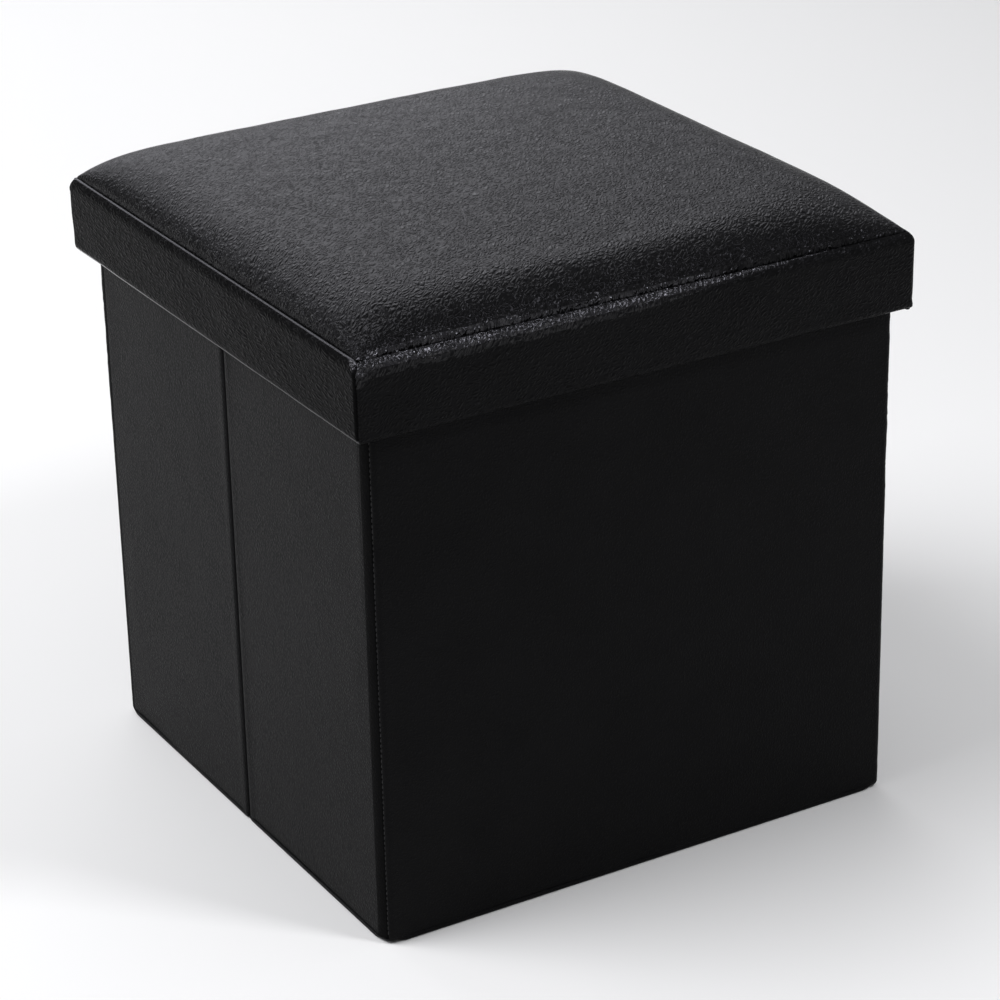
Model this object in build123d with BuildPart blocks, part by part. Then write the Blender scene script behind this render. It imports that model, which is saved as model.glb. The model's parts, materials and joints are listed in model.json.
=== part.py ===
from build123d import *
from collections import namedtuple
import os

# Folding storage ottoman, in millimetres. The origin is on the floor under the middle of the cube,
# +Z is up, the plain front panel faces -Y, and the creased sides that fold inwards face -X and +X.

# Walls of the body
body_width = 363.0
fold_allowance = 2.0
wall_height = 361.5
cover_thickness = 1.0
wall_board_thickness = 4.0
lining_thickness = 1.0
cover_edge_radius = 0.8
turn_down = 25.0
hem_height = 3.3
hem_edge_radius = 1.4
hem_end_radius = 3.0
hem_fillet_limit = 0.9

# Hinge lines of the fold
fold_gap = 0.15
end_clearance = 0.2
crease_half_gap = 1.2
crease_clearance = 0.3
corner_strip_return = 8.0

# Loose base board with its cloth facing and pull tab
base_clearance = 0.8
base_board_thickness = 2.0
base_lining_thickness = 0.6
base_corner_radius = 5.0
pull_tab_width = 25.0
pull_tab_length = 60.0
pull_tab_thickness = 0.4
pull_tab_corner_radius = 5.0

# Lid
lid_side_overhang = 9.0
lid_end_overhang = 10.0
lid_overlap = 33.0
lid_seat_gap = 0.3
lid_board_thickness = 9.0
lid_lining_thickness = 1.0
band_thickness = 1.2
band_bulge = 1.7
band_bulge_share = 0.68
band_turn_up = 21.0
band_corner_radius = 4.0
skirt_thickness = 2.5
foam_edge_height = 5.2
seam_inset = 3.3
foam_gap = 0.2

# Crown of the padded top panel
crown_rise = 21.5
crown_shoulder = 8.0
crown_roundness = 0.5
crown_flat = 112.0
crown_steps = 9
crown_crowding = 2.5
seam_corner_radius = 4.0
corner_softening = 0.8
corner_round_limit = 0.8

# Sizes that follow from the ones above
body_depth = body_width - fold_allowance
body_half_x = body_width / 2
body_half_y = body_depth / 2
wall_thickness = cover_thickness + wall_board_thickness + lining_thickness
corner_radius = wall_thickness + fold_gap
pivot_x = body_half_x - corner_radius
pivot_y = body_half_y - corner_radius
lining_top = wall_height - turn_down
side_length = pivot_y - end_clearance - crease_half_gap
end_length = body_width - 2 * corner_strip_return

lid_half_x = body_half_x + lid_side_overhang
lid_half_y = body_half_y + lid_end_overhang
band_bottom = wall_height - lid_overlap
lid_lining_bottom = wall_height + lid_seat_gap
lid_board_bottom = lid_lining_bottom + lid_lining_thickness
lid_board_top = lid_board_bottom + lid_board_thickness
seam_height = lid_board_top + foam_edge_height
skirt_inset = band_bulge + band_thickness
board_inset = skirt_inset + skirt_thickness
turn_up_inset = board_inset + lid_lining_thickness
turn_up_top = band_bottom + band_turn_up
skirt_bottom = band_bottom + band_thickness

os.makedirs("parts", exist_ok=True)


def save(builder, name):
    """Label the finished piece and write its STEP file."""
    builder.part.label = name
    export_step(builder.part, f"parts/{name}.step")


# One flat panel of the body: the outer face's starting corner on the floor, the inward direction
# and the panel's length, which runs to the right of someone looking inwards from outside.
Panel = namedtuple("Panel", "start inward length")

wall_panels = {
    "front": Panel((-end_length / 2, -body_half_y), (0, 1), end_length),
    "back": Panel((end_length / 2, body_half_y), (0, -1), end_length),
    "left_rear": Panel((-body_half_x, pivot_y - end_clearance), (1, 0), side_length),
    "left_front": Panel((-body_half_x, -crease_half_gap), (1, 0), side_length),
    "right_front": Panel((body_half_x, -pivot_y + end_clearance), (-1, 0), side_length),
    "right_rear": Panel((body_half_x, crease_half_gap), (-1, 0), side_length),
}


def section_plane(start, inward):
    """Upright plane across a panel: its X runs inwards from the outer face and its Y is height."""
    inward_direction = Vector(*inward, 0)
    return Plane(origin=(*start, 0), x_dir=inward_direction, z_dir=inward_direction.cross(Vector(0, 0, 1)))


# Outer covers: a sheet of faux leather that turns over the board's top edge and down inside
for panel_name, panel in wall_panels.items():
    with BuildPart() as wall_cover:
        with BuildSketch(section_plane(panel.start, panel.inward)):
            with BuildLine():
                Polyline(
                    (0, hem_height),
                    (cover_thickness, hem_height),
                    (cover_thickness, wall_height - cover_thickness),
                    (wall_thickness - lining_thickness, wall_height - cover_thickness),
                    (wall_thickness - lining_thickness, lining_top),
                    (wall_thickness, lining_top),
                    (wall_thickness, wall_height),
                    (0, wall_height),
                    close=True,
                )
            make_face()
        extrude(amount=panel.length)
        top_edges = wall_cover.edges().group_by(Axis.Z)[-1].sort_by(SortBy.LENGTH)[-2:]
        fillet(top_edges, radius=cover_edge_radius)
    save(wall_cover, f"{panel_name}_cover")

# Stiff boards inside the covers
for panel_name, panel in wall_panels.items():
    board_height = wall_height - cover_thickness - hem_height
    with BuildPart() as wall_board:
        with BuildSketch(section_plane(panel.start, panel.inward)):
            with Locations((cover_thickness, hem_height)):
                Rectangle(wall_board_thickness, board_height, align=(Align.MIN, Align.MIN))
        extrude(amount=panel.length)
    save(wall_board, f"{panel_name}_board")

# Cloth linings on the inner faces, up to the turned-down edge of the cover
for panel_name, panel in wall_panels.items():
    with BuildPart() as wall_lining:
        with BuildSketch(section_plane(panel.start, panel.inward)):
            with Locations((wall_thickness - lining_thickness, hem_height)):
                Rectangle(lining_thickness, lining_top - hem_height, align=(Align.MIN, Align.MIN))
        extrude(amount=panel.length)
    save(wall_lining, f"{panel_name}_lining")

# Soft turned hems under the panels, which stand on the floor and give when the body folds
for panel_name, panel in wall_panels.items():
    with BuildPart() as hem:
        with BuildSketch(section_plane(panel.start, panel.inward)):
            Rectangle(wall_thickness, hem_height, align=(Align.MIN, Align.MIN))
        extrude(amount=panel.length)
        floor_edges = hem.edges().group_by(Axis.Z)[0].sort_by(SortBy.LENGTH)
        fillet(floor_edges[:2], radius=min(hem_end_radius, hem_fillet_limit * hem_height))
        long_edges = hem.faces().sort_by(Axis.Z)[0].edges().sort_by(SortBy.LENGTH)[-2:]
        fillet(long_edges, radius=min(hem_edge_radius, hem_fillet_limit * hem_height / 2))
    save(hem, f"{panel_name}_hem")

# Soft corner strips, rounded about the corner hinge lines and sewn to the front and back panels
for end_name, end_side in (("front", -1), ("back", 1)):
    for side_name, side in (("left", -1), ("right", 1)):
        pivot = (side * pivot_x, end_side * pivot_y)
        side_point = (side * body_half_x, end_side * pivot_y)
        end_point = (side * pivot_x, end_side * body_half_y)
        sewn_edge = side * (body_half_x - corner_strip_return)
        inner_face = end_side * (body_half_y - wall_thickness)
        with BuildPart() as corner_strip:
            with BuildSketch(Plane.XY.offset(hem_height)):
                with BuildLine():
                    Line(pivot, side_point)
                    RadiusArc(side_point, end_point, -corner_radius * side * end_side)
                    Polyline(
                        end_point,
                        (sewn_edge, end_side * body_half_y),
                        (sewn_edge, inner_face),
                        (side * pivot_x, inner_face),
                        pivot,
                    )
                make_face()
            extrude(amount=wall_height - hem_height)
        save(corner_strip, f"{end_name}_{side_name}_corner_strip")

# Soft webs in the centre creases, half round about the crease hinge lines on the outer faces
crease_strip_radius = crease_half_gap - crease_clearance
for side_name, side in (("left", -1), ("right", 1)):
    with BuildPart() as crease_strip:
        with BuildSketch(Plane.XY.offset(hem_height)):
            with Locations((side * (body_half_x + fold_gap), 0)):
                Circle(crease_strip_radius)
            with Locations((side * (body_half_x - crease_strip_radius), 0)):
                Rectangle(2 * crease_strip_radius, 2 * crease_strip_radius, mode=Mode.INTERSECT)
        extrude(amount=wall_height - hem_height)
    save(crease_strip, f"{side_name}_crease_strip")

# Base board, which lies loose on the floor inside the walls
base_length_x = 2 * (body_half_x - wall_thickness - base_clearance)
base_length_y = 2 * (body_half_y - wall_thickness - base_clearance)

with BuildPart() as base_board:
    with BuildSketch():
        RectangleRounded(base_length_x, base_length_y, base_corner_radius)
    extrude(amount=base_board_thickness)
save(base_board, "base_board")

with BuildPart() as base_lining:
    with BuildSketch(Plane.XY.offset(base_board_thickness)):
        RectangleRounded(base_length_x, base_length_y, base_corner_radius)
    extrude(amount=base_lining_thickness)
save(base_lining, "base_lining")

# Ribbon tab for lifting the base board, lying flat on its front edge
with BuildPart() as pull_tab:
    with BuildSketch(Plane.XY.offset(base_board_thickness + base_lining_thickness)):
        with Locations((0, -base_length_y / 2)):
            Rectangle(pull_tab_width, pull_tab_length, align=(Align.CENTER, Align.MIN))
    extrude(amount=pull_tab_thickness)
    fillet(pull_tab.edges().filter_by(Axis.Z).group_by(Axis.Y)[-1], radius=pull_tab_corner_radius)
save(pull_tab, "base_pull_tab")

# Sides of the lid: the outer face's middle, the inward direction and the half length of that side
LidSide = namedtuple("LidSide", "middle inward half_length")

lid_sides = {
    "front": LidSide((0, -lid_half_y), (0, 1), lid_half_x),
    "back": LidSide((0, lid_half_y), (0, -1), lid_half_x),
    "left": LidSide((-lid_half_x, 0), (1, 0), lid_half_y),
    "right": LidSide((lid_half_x, 0), (-1, 0), lid_half_y),
}

# Boxing bands: bulged between the turned-under bottom edge and the seam, mitred at the corner seams
for side_name, lid_side in lid_sides.items():
    bulge_height = band_bottom + band_bulge_share * (seam_height - band_bottom)
    foot_radius = band_thickness
    across = section_plane(lid_side.middle, lid_side.inward)
    outward = Vector(*lid_side.inward, 0) * -1
    with BuildPart() as band:
        with BuildSketch(across):
            with BuildLine():
                foot = (band_bulge, band_bottom)
                heel = (band_bulge - foot_radius, band_bottom + foot_radius)
                widest = (0, bulge_height)
                seam_point = (seam_inset, seam_height)
                RadiusArc(foot, heel, foot_radius)
                TangentArc(widest, heel, tangent=(0, -1))
                TangentArc(widest, seam_point, tangent=(0, 1))
                Polyline(
                    seam_point,
                    (seam_inset + band_thickness, seam_height),
                    (seam_inset + band_thickness, lid_board_top),
                    (skirt_inset, lid_board_top),
                    (skirt_inset, skirt_bottom),
                    (board_inset, skirt_bottom),
                    (board_inset, turn_up_top),
                    (turn_up_inset, turn_up_top),
                    (turn_up_inset, band_bottom),
                    foot,
                )
            make_face()
        extrude(amount=lid_side.half_length, both=True)
        corner_middle = Vector(*lid_side.middle, 0) + across.z_dir * lid_side.half_length
        other_middle = Vector(*lid_side.middle, 0) - across.z_dir * lid_side.half_length
        split(bisect_by=Plane(corner_middle, z_dir=outward - across.z_dir), keep=Keep.TOP)
        split(bisect_by=Plane(other_middle, z_dir=outward + across.z_dir), keep=Keep.TOP)
        with BuildSketch(Plane.XY.offset(band_bottom)):
            RectangleRounded(2 * lid_half_x, 2 * lid_half_y, band_corner_radius)
        extrude(amount=seam_height - band_bottom, mode=Mode.INTERSECT)
    save(band, f"lid_{side_name}_band")

# Stiff strips inside the bands; the side strips stand between the front and back ones
for side_name, lid_side in lid_sides.items():
    strip_inset = skirt_inset if side_name in ("front", "back") else board_inset
    with BuildPart() as skirt:
        with BuildSketch(section_plane(lid_side.middle, lid_side.inward)):
            with Locations((skirt_inset, skirt_bottom)):
                Rectangle(skirt_thickness, lid_board_top - skirt_bottom, align=(Align.MIN, Align.MIN))
        extrude(amount=lid_side.half_length - strip_inset, both=True)
    save(skirt, f"lid_{side_name}_skirt")

# Lid board, inside the stiff strips
with BuildPart() as lid_board:
    with BuildSketch(Plane.XY.offset(lid_board_bottom)):
        Rectangle(2 * (lid_half_x - board_inset), 2 * (lid_half_y - board_inset))
    extrude(amount=lid_board_thickness)
save(lid_board, "lid_board")

# Lid lining: covers the board's underside and comes down the strips to the bands' turned-up edge
with BuildPart() as lid_lining:
    with BuildSketch(Plane.XY.offset(turn_up_top)):
        Rectangle(2 * (lid_half_x - board_inset), 2 * (lid_half_y - board_inset))
    extrude(amount=lid_board_bottom - turn_up_top)
    with BuildSketch(Plane.XY.offset(turn_up_top)):
        Rectangle(2 * (lid_half_x - turn_up_inset), 2 * (lid_half_y - turn_up_inset))
    extrude(amount=lid_lining_bottom - turn_up_top, mode=Mode.SUBTRACT)
save(lid_lining, "lid_lining")


def crown_height(inset, run):
    """Height of the crown above the seam: steep at the seam, then round, then nearly flat."""
    return crown_rise * (1 - (1 - inset / run) ** crown_shoulder) ** crown_roundness


def crown_sections(sink):
    """Rounded rectangles of the crown, from the seam up, each sunk below the outer surface."""
    run = min(lid_half_x, lid_half_y) - seam_inset
    reach = run - crown_flat / 2
    sections = []
    for step in range(crown_steps + 1):
        inset = reach * (step / crown_steps) ** crown_crowding
        drop = sink if step else 0
        half_x = lid_half_x - seam_inset - inset - sink
        half_y = lid_half_y - seam_inset - inset - sink
        softened = seam_corner_radius + corner_softening * inset
        radius = min(softened, corner_round_limit * min(half_x, half_y))
        with BuildSketch(Plane.XY.offset(seam_height + crown_height(inset, run) - drop)) as outline:
            RectangleRounded(2 * half_x, 2 * half_y, radius)
        sections.append(outline.sketch.face())
    return sections


# Top cover: the crowned panel of faux leather, sewn to the bands along the seam
with BuildPart() as lid_top_cover:
    loft(crown_sections(0), ruled=True)
    loft(crown_sections(band_thickness), ruled=True, mode=Mode.SUBTRACT)
save(lid_top_cover, "lid_top_cover")

# Foam pad: stands on the lid board and fills the crown
with BuildPart() as lid_foam:
    foam_sink = band_thickness + foam_gap
    with BuildSketch(Plane.XY.offset(lid_board_top)):
        RectangleRounded(
            2 * (lid_half_x - seam_inset - foam_sink),
            2 * (lid_half_y - seam_inset - foam_sink),
            seam_corner_radius,
        )
    extrude(amount=foam_edge_height)
    loft(crown_sections(foam_sink), ruled=True)
save(lid_foam, "lid_foam")
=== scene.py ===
"""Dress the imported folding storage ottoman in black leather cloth, lining and stitching."""

import json
import logging
import math
from dataclasses import dataclass, field
from enum import Enum
from functools import partial

import bpy
import numpy as np
from bpy.types import Material, Node, NodeSocket, NodeTree, Object
from mathutils import Matrix, Vector

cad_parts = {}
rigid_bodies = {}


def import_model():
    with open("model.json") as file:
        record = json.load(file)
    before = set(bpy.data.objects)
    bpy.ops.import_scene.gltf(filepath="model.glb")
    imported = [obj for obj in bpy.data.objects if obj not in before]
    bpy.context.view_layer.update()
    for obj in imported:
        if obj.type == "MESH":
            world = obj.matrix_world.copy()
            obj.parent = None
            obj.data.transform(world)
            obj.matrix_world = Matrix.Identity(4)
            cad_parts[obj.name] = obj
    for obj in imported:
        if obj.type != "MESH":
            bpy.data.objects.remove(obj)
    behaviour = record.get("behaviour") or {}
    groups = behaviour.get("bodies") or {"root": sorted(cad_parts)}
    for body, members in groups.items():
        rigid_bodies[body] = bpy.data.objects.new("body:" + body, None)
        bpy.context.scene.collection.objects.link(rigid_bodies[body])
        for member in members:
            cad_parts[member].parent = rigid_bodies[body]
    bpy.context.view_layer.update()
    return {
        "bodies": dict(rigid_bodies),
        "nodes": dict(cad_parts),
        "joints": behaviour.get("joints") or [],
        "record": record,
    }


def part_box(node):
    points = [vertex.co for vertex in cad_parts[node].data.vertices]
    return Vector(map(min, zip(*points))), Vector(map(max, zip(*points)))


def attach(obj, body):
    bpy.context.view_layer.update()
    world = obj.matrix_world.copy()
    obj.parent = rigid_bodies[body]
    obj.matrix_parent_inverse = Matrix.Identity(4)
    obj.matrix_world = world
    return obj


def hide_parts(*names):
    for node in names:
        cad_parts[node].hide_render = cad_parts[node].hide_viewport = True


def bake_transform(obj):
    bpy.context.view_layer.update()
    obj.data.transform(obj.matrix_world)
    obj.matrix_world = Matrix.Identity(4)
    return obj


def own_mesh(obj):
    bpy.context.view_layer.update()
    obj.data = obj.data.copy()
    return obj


MM = 0.001
QUARTER = math.pi / 2
STITCH_PITCH = 3.4 * MM
# The lid's soft cover sits a little to the left of its board, and a little back.
LID_SLIP = (-1.5 * MM, 0.8 * MM)
# A Mix node's colour sockets: its two inputs and its output.
MIX_FROM, MIX_TO, MIX_OUT = 6, 7, 2
LOG = logging.getLogger("ottoman")


class Way(Enum):
    """A direction along an axis, by its sign."""

    @property
    def label(self) -> str:
        """The direction's word in the names of pieces."""
        return self.name.lower()


class Side(Way):
    """The creased sides of the body, by the sign of X."""

    LEFT = -1
    RIGHT = 1


class End(Way):
    """The plain ends of the body, by the sign of Y."""

    FRONT = -1
    BACK = 1


@dataclass(frozen=True)
class HalfSide:
    """Half of a creased side, from its crease to the end panel that it meets at a corner."""

    side: Side
    end: End

    @property
    def name(self) -> str:
        """The half side's word in the names of nodes."""
        return f"{self.side.label}_{'front' if self.end is End.FRONT else 'rear'}"

    @property
    def corner(self) -> str:
        """The corner's word in the names of nodes."""
        return f"{self.end.label}_{self.side.label}"

    @property
    def signs(self) -> np.ndarray:
        """The signs of X and Y on this half."""
        return np.array([self.side.value, self.end.value])


def linear(hex_colour: str) -> tuple[float, float, float, float]:
    """Turn an sRGB hex colour into linear red, green, blue and alpha.

    Args:
        hex_colour: Six hex digits after a hash sign.

    Returns:
        The colour with alpha 1, as shader sockets take it.
    """
    channels = [int(hex_colour[i : i + 2], 16) / 255 for i in (1, 3, 5)]
    return (*(c / 12.92 if c <= 0.04045 else ((c + 0.055) / 1.055) ** 2.4 for c in channels), 1.0)


def plug(node: Node, inputs: dict) -> None:
    """Set or link the inputs of a shader node.

    Args:
        node: The node.
        inputs: Socket name or index to a value, an output socket, or a node for its first output.
    """
    for key, value in inputs.items():
        source = value.outputs[0] if isinstance(value, Node) else value
        if isinstance(source, NodeSocket):
            node.id_data.links.new(source, node.inputs[key])
        else:
            node.inputs[key].default_value = source


def add_node(tree: NodeTree, kind: str, inputs: dict | None = None, **settings: object) -> Node:
    """Add a shader node, set its properties, and set or link its inputs.

    Args:
        tree: The node tree that gets the node.
        kind: The node's type, without its ShaderNode prefix.
        inputs: What goes into its sockets, as plug takes it.
        settings: Properties of the node itself.

    Returns:
        The new node.
    """
    node = tree.nodes.new("ShaderNode" + kind)
    for key, value in settings.items():
        setattr(node, key, value)
    plug(node, inputs or {})
    return node


def new_material(name: str) -> tuple[Material, Node, partial]:
    """Make an empty material with a Principled shader on its output.

    Args:
        name: The material's name.

    Returns:
        The material, its Principled node, and add_node for its tree.
    """
    material = bpy.data.materials.new(name)
    material.use_nodes = True
    material.node_tree.nodes.clear()
    node = partial(add_node, material.node_tree)
    shader = node("BsdfPrincipled")
    node("OutputMaterial", {"Surface": shader})
    return material, shader, node


@dataclass(frozen=True)
class LeatherCloth:
    """Polyurethane leather cloth: a knitted backing with an embossed, satin, black coating.

    The embossing roller gives low, drawn-out pebbles parted by fine creases, which swirl a little.
    The crests catch the light and the creases stay dull, so the black reads as a cool grey sheen
    broken into small grains. Where a panel is drawn tighter towards its back, the relief falls
    evenly from the front edge to back_relief of its height at the back edge.
    """

    name: str
    colour: str = "#0a0a0a"
    worn_colour: str = "#101010"
    sheen_colour: str = "#f8f7ff"
    roughness: float = 0.27
    specular: float = 0.09
    ior: float = 1.46
    pebble_mm: float = 1.6
    relief_mm: float = 0.3
    stretch: tuple[float, float, float] = (1.0, 1.0, 1.0)
    turn_deg: tuple[float, float, float] = (0.0, 0.0, 0.0)
    swirl_mm: float = 18.0
    swirl: float = 0.4
    mottle_mm: float = 38.0
    back_relief: float = 1.0
    panel_half_mm: float = 190.0

    def build(self) -> Material:
        """Build the material: swirled, warped cells for pebbles, finer noise for pores, mottling.

        Returns:
            The material.
        """
        material, shader, node = new_material(self.name)
        pebble, swirl_size = self.pebble_mm * MM, self.swirl_mm * MM
        where = node("TexCoord").outputs["Object"]
        swirl = node("TexNoise", {"Vector": where, "Scale": 1 / swirl_size, "Detail": 1.0})
        swung = {0: swirl.outputs["Color"], 1: (self.swirl * swirl_size,) * 3, 2: where}
        swirled = node("VectorMath", swung, operation="MULTIPLY_ADD")
        turn = tuple(math.radians(angle) for angle in self.turn_deg)
        drawn = {"Vector": swirled, "Rotation": turn, "Scale": self.stretch}
        turned = node("Mapping", drawn, vector_type="TEXTURE")
        drift = node("TexNoise", {"Vector": turned, "Scale": 0.6 / pebble, "Detail": 2.0})
        bent = {0: drift.outputs["Color"], 1: (1.3 * pebble,) * 3, 2: turned}
        warped = node("VectorMath", bent, operation="MULTIPLY_ADD")
        pattern = {"Vector": warped, "Scale": 1 / pebble, "Randomness": 1.0}
        cells = node("TexVoronoi", pattern, feature="DISTANCE_TO_EDGE")
        rounding = {"Value": cells, "From Min": 0.0, "From Max": 0.4}
        domes = node("MapRange", rounding, interpolation_type="SMOOTHSTEP")
        pores = node("TexNoise", {"Vector": warped, "Scale": 1.4 / pebble, "Detail": 1.0})
        height = node("Math", {0: pores, 1: 0.35, 2: domes}, operation="MULTIPLY_ADD")
        bump = node("Bump", {"Height": height, "Distance": self.relief_mm * MM, "Strength": 1.0})
        if self.back_relief < 1.0:
            place = node("SeparateXYZ", {"Vector": where}).outputs["Y"]
            half = self.panel_half_mm * MM
            span = {"From Min": -half, "From Max": half, "To Min": 1.0, "To Max": self.back_relief}
            plug(bump, {"Strength": node("MapRange", {"Value": place, **span})})
        mottle = node("TexNoise", {"Vector": where, "Scale": 1 / (self.mottle_mm * MM), "Detail": 3.0})
        shades = {0: mottle, MIX_FROM: linear(self.colour), MIX_TO: linear(self.worn_colour)}
        dull, bright = self.roughness + 0.12, self.roughness - 0.05
        gloss = node("MapRange", {"Value": height, "From Max": 1.3, "To Min": dull, "To Max": bright})
        finish = {
            "Base Color": node("Mix", shades, data_type="RGBA").outputs[MIX_OUT],
            "Roughness": gloss,
            "Normal": bump,
            "IOR": self.ior,
            "Specular IOR Level": self.specular,
            "Specular Tint": linear(self.sheen_colour),
        }
        plug(shader, finish)
        return material


@dataclass(frozen=True)
class BondedLining:
    """Spun-bonded polypropylene lining: matt black felted fibre with rows of pressed bond points."""

    name: str = "spunbond polypropylene lining, black"
    colour: str = "#1b1b1c"
    fibre_colour: str = "#29292b"
    point_mm: float = 1.6
    fibre_mm: float = 0.8
    relief_mm: float = 0.12

    def build(self) -> Material:
        """Build the material: bond points on the piece's own UV map, in metres, under fibre noise.

        Returns:
            The material.
        """
        material, shader, node = new_material(self.name)
        where = node("UVMap", uv_map="cloth")
        turned = node("Mapping", {"Vector": where, "Rotation": (0.0, 0.0, math.radians(45))})
        rows = {"Vector": turned, "Scale": 1 / (self.point_mm * MM), "Randomness": 0.08}
        points = node("TexVoronoi", rows, voronoi_dimensions="2D")
        rounding = {"Value": points, "From Min": 0.2, "From Max": 0.4}
        pressed = node("MapRange", rounding, interpolation_type="SMOOTHSTEP")
        fibres = node("TexNoise", {"Vector": where, "Scale": 1 / (self.fibre_mm * MM), "Detail": 4.0})
        height = node("Math", {0: fibres, 1: 0.5, 2: pressed}, operation="MULTIPLY_ADD")
        shades = {0: fibres, MIX_FROM: linear(self.colour), MIX_TO: linear(self.fibre_colour)}
        finish = {
            "Base Color": node("Mix", shades, data_type="RGBA").outputs[MIX_OUT],
            "Roughness": 0.9,
            "Specular IOR Level": 0.2,
            "Normal": node("Bump", {"Height": height, "Distance": self.relief_mm * MM}),
        }
        plug(shader, finish)
        return material


@dataclass(frozen=True)
class Hardboard:
    """Pressed hardboard: brown wood fibre, smooth and slightly waxy, flecked with darker chips."""

    name: str = "pressed hardboard, brown"
    colour: str = "#6b4a30"
    fleck_colour: str = "#4a3221"
    fleck_mm: float = 1.8
    relief_mm: float = 0.05

    def build(self) -> Material:
        """Build the material: short flecks of fibre over a broad, faint mottling.

        Returns:
            The material.
        """
        material, shader, node = new_material(self.name)
        where = node("TexCoord").outputs["Object"]
        flecks = node("TexNoise", {"Vector": where, "Scale": 1 / (self.fleck_mm * MM), "Detail": 5.0})
        sharp = node("MapRange", {"Value": flecks, "From Min": 0.42, "From Max": 0.62})
        shades = {0: sharp, MIX_FROM: linear(self.fleck_colour), MIX_TO: linear(self.colour)}
        finish = {
            "Base Color": node("Mix", shades, data_type="RGBA").outputs[MIX_OUT],
            "Roughness": 0.62,
            "Normal": node("Bump", {"Height": flecks, "Distance": self.relief_mm * MM}),
        }
        plug(shader, finish)
        return material


@dataclass(frozen=True)
class WovenBlack:
    """Black polyester, woven or twisted: fine ribs with a faint sheen along them, and painted shade in
    the grooves between them.
    """

    name: str
    colour: str = "#151516"
    groove_colour: str = "#0c0c0d"
    rib_mm: float = 1.1
    rib_axis: str = "X"
    relief_mm: float = 0.12

    def build(self) -> Material:
        """Build the material: even ribs across the piece, broken by fibre noise, with the grooves
        coloured darker as painted shade.

        Returns:
            The material.
        """
        material, shader, node = new_material(self.name)
        pattern = {
            "Vector": node("TexCoord").outputs["Object"],
            "Scale": math.pi / 10 / (self.rib_mm * MM),
            "Distortion": 1.2,
            "Detail": 2.0,
        }
        ribs = node("TexWave", pattern, bands_direction=self.rib_axis).outputs["Fac"]
        # Painted shade: the grooves between the ribs get a darker colour than the rib crests.
        shades = {0: ribs, MIX_FROM: linear(self.groove_colour), MIX_TO: linear(self.colour)}
        finish = {
            "Base Color": node("Mix", shades, data_type="RGBA").outputs[MIX_OUT],
            "Roughness": 0.6,
            "Normal": node("Bump", {"Height": ribs, "Distance": self.relief_mm * MM}),
        }
        plug(shader, finish)
        return material


@dataclass(frozen=True)
class Finishes:
    """Every finish on the ottoman, built once and shared by its pieces.

    Each panel's grain is drawn out its own way, and folded edges and gathers shine.
    """

    top: Material = field(
        default_factory=LeatherCloth(
            "leather cloth, black, top panel",
            specular=0.082,
            roughness=0.2,
            pebble_mm=2.3,
            relief_mm=0.55,
            back_relief=0.4,
            stretch=(2.4, 1.0, 1.0),
            turn_deg=(0.0, 0.0, 41.0),
        ).build
    )
    gathered: Material = field(
        default_factory=LeatherCloth(
            "leather cloth, black, rubbed gathers",
            specular=0.6,
            roughness=0.18,
            pebble_mm=2.8,
            relief_mm=0.9,
            stretch=(1.0, 1.0, 2.0),
            turn_deg=(0.0, 25.0, 0.0),
        ).build
    )
    slack: Material = field(
        default_factory=LeatherCloth(
            "leather cloth, black, slack below the gathers",
            specular=0.17,
            roughness=0.2,
            pebble_mm=2.8,
            relief_mm=0.8,
            stretch=(1.0, 1.0, 2.0),
            turn_deg=(0.0, 25.0, 0.0),
        ).build
    )
    end_band: Material = field(
        default_factory=LeatherCloth(
            "leather cloth, black, end bands",
            specular=0.058,
            pebble_mm=1.9,
            stretch=(2.0, 1.0, 1.0),
            turn_deg=(0.0, -28.0, 0.0),
        ).build
    )
    side_band: Material = field(
        default_factory=LeatherCloth(
            "leather cloth, black, side bands",
            specular=0.016,
            pebble_mm=2.0,
            relief_mm=0.34,
            stretch=(1.0, 3.0, 1.0),
            turn_deg=(12.0, 0.0, 0.0),
        ).build
    )
    wall: Material = field(
        default_factory=LeatherCloth(
            "leather cloth, black, walls", specular=0.055, roughness=0.38, pebble_mm=1.9, relief_mm=0.2
        ).build
    )
    strip: Material = field(
        default_factory=LeatherCloth(
            "leather cloth, black, corner strips",
            specular=0.012,
            roughness=0.42,
            pebble_mm=1.9,
            relief_mm=0.16,
        ).build
    )
    folded_edge: Material = field(
        default_factory=LeatherCloth(
            "leather cloth, black, folded edge", specular=0.7, roughness=0.22, relief_mm=0.03
        ).build
    )
    lining: Material = field(default_factory=BondedLining().build)
    board: Material = field(default_factory=Hardboard().build)
    ribbon: Material = field(
        default_factory=WovenBlack("woven polyester ribbon, black", rib_axis="Y").build
    )
    thread: Material = field(
        default_factory=WovenBlack("twisted polyester thread, black", rib_mm=0.5, rib_axis="Z").build
    )


def smooth(share: np.ndarray) -> np.ndarray:
    """Ease from 0 to 1 with level ends: 3 t squared minus 2 t cubed, clipped to that span."""
    t = np.clip(share, 0.0, 1.0)
    return t * t * (3.0 - 2.0 * t)


def bell(place: np.ndarray, middle: float, width: float) -> np.ndarray:
    """A hump of height 1: e to the minus square of the distance from its middle over its width."""
    return np.exp(-(((place - middle) / width) ** 2))


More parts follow.
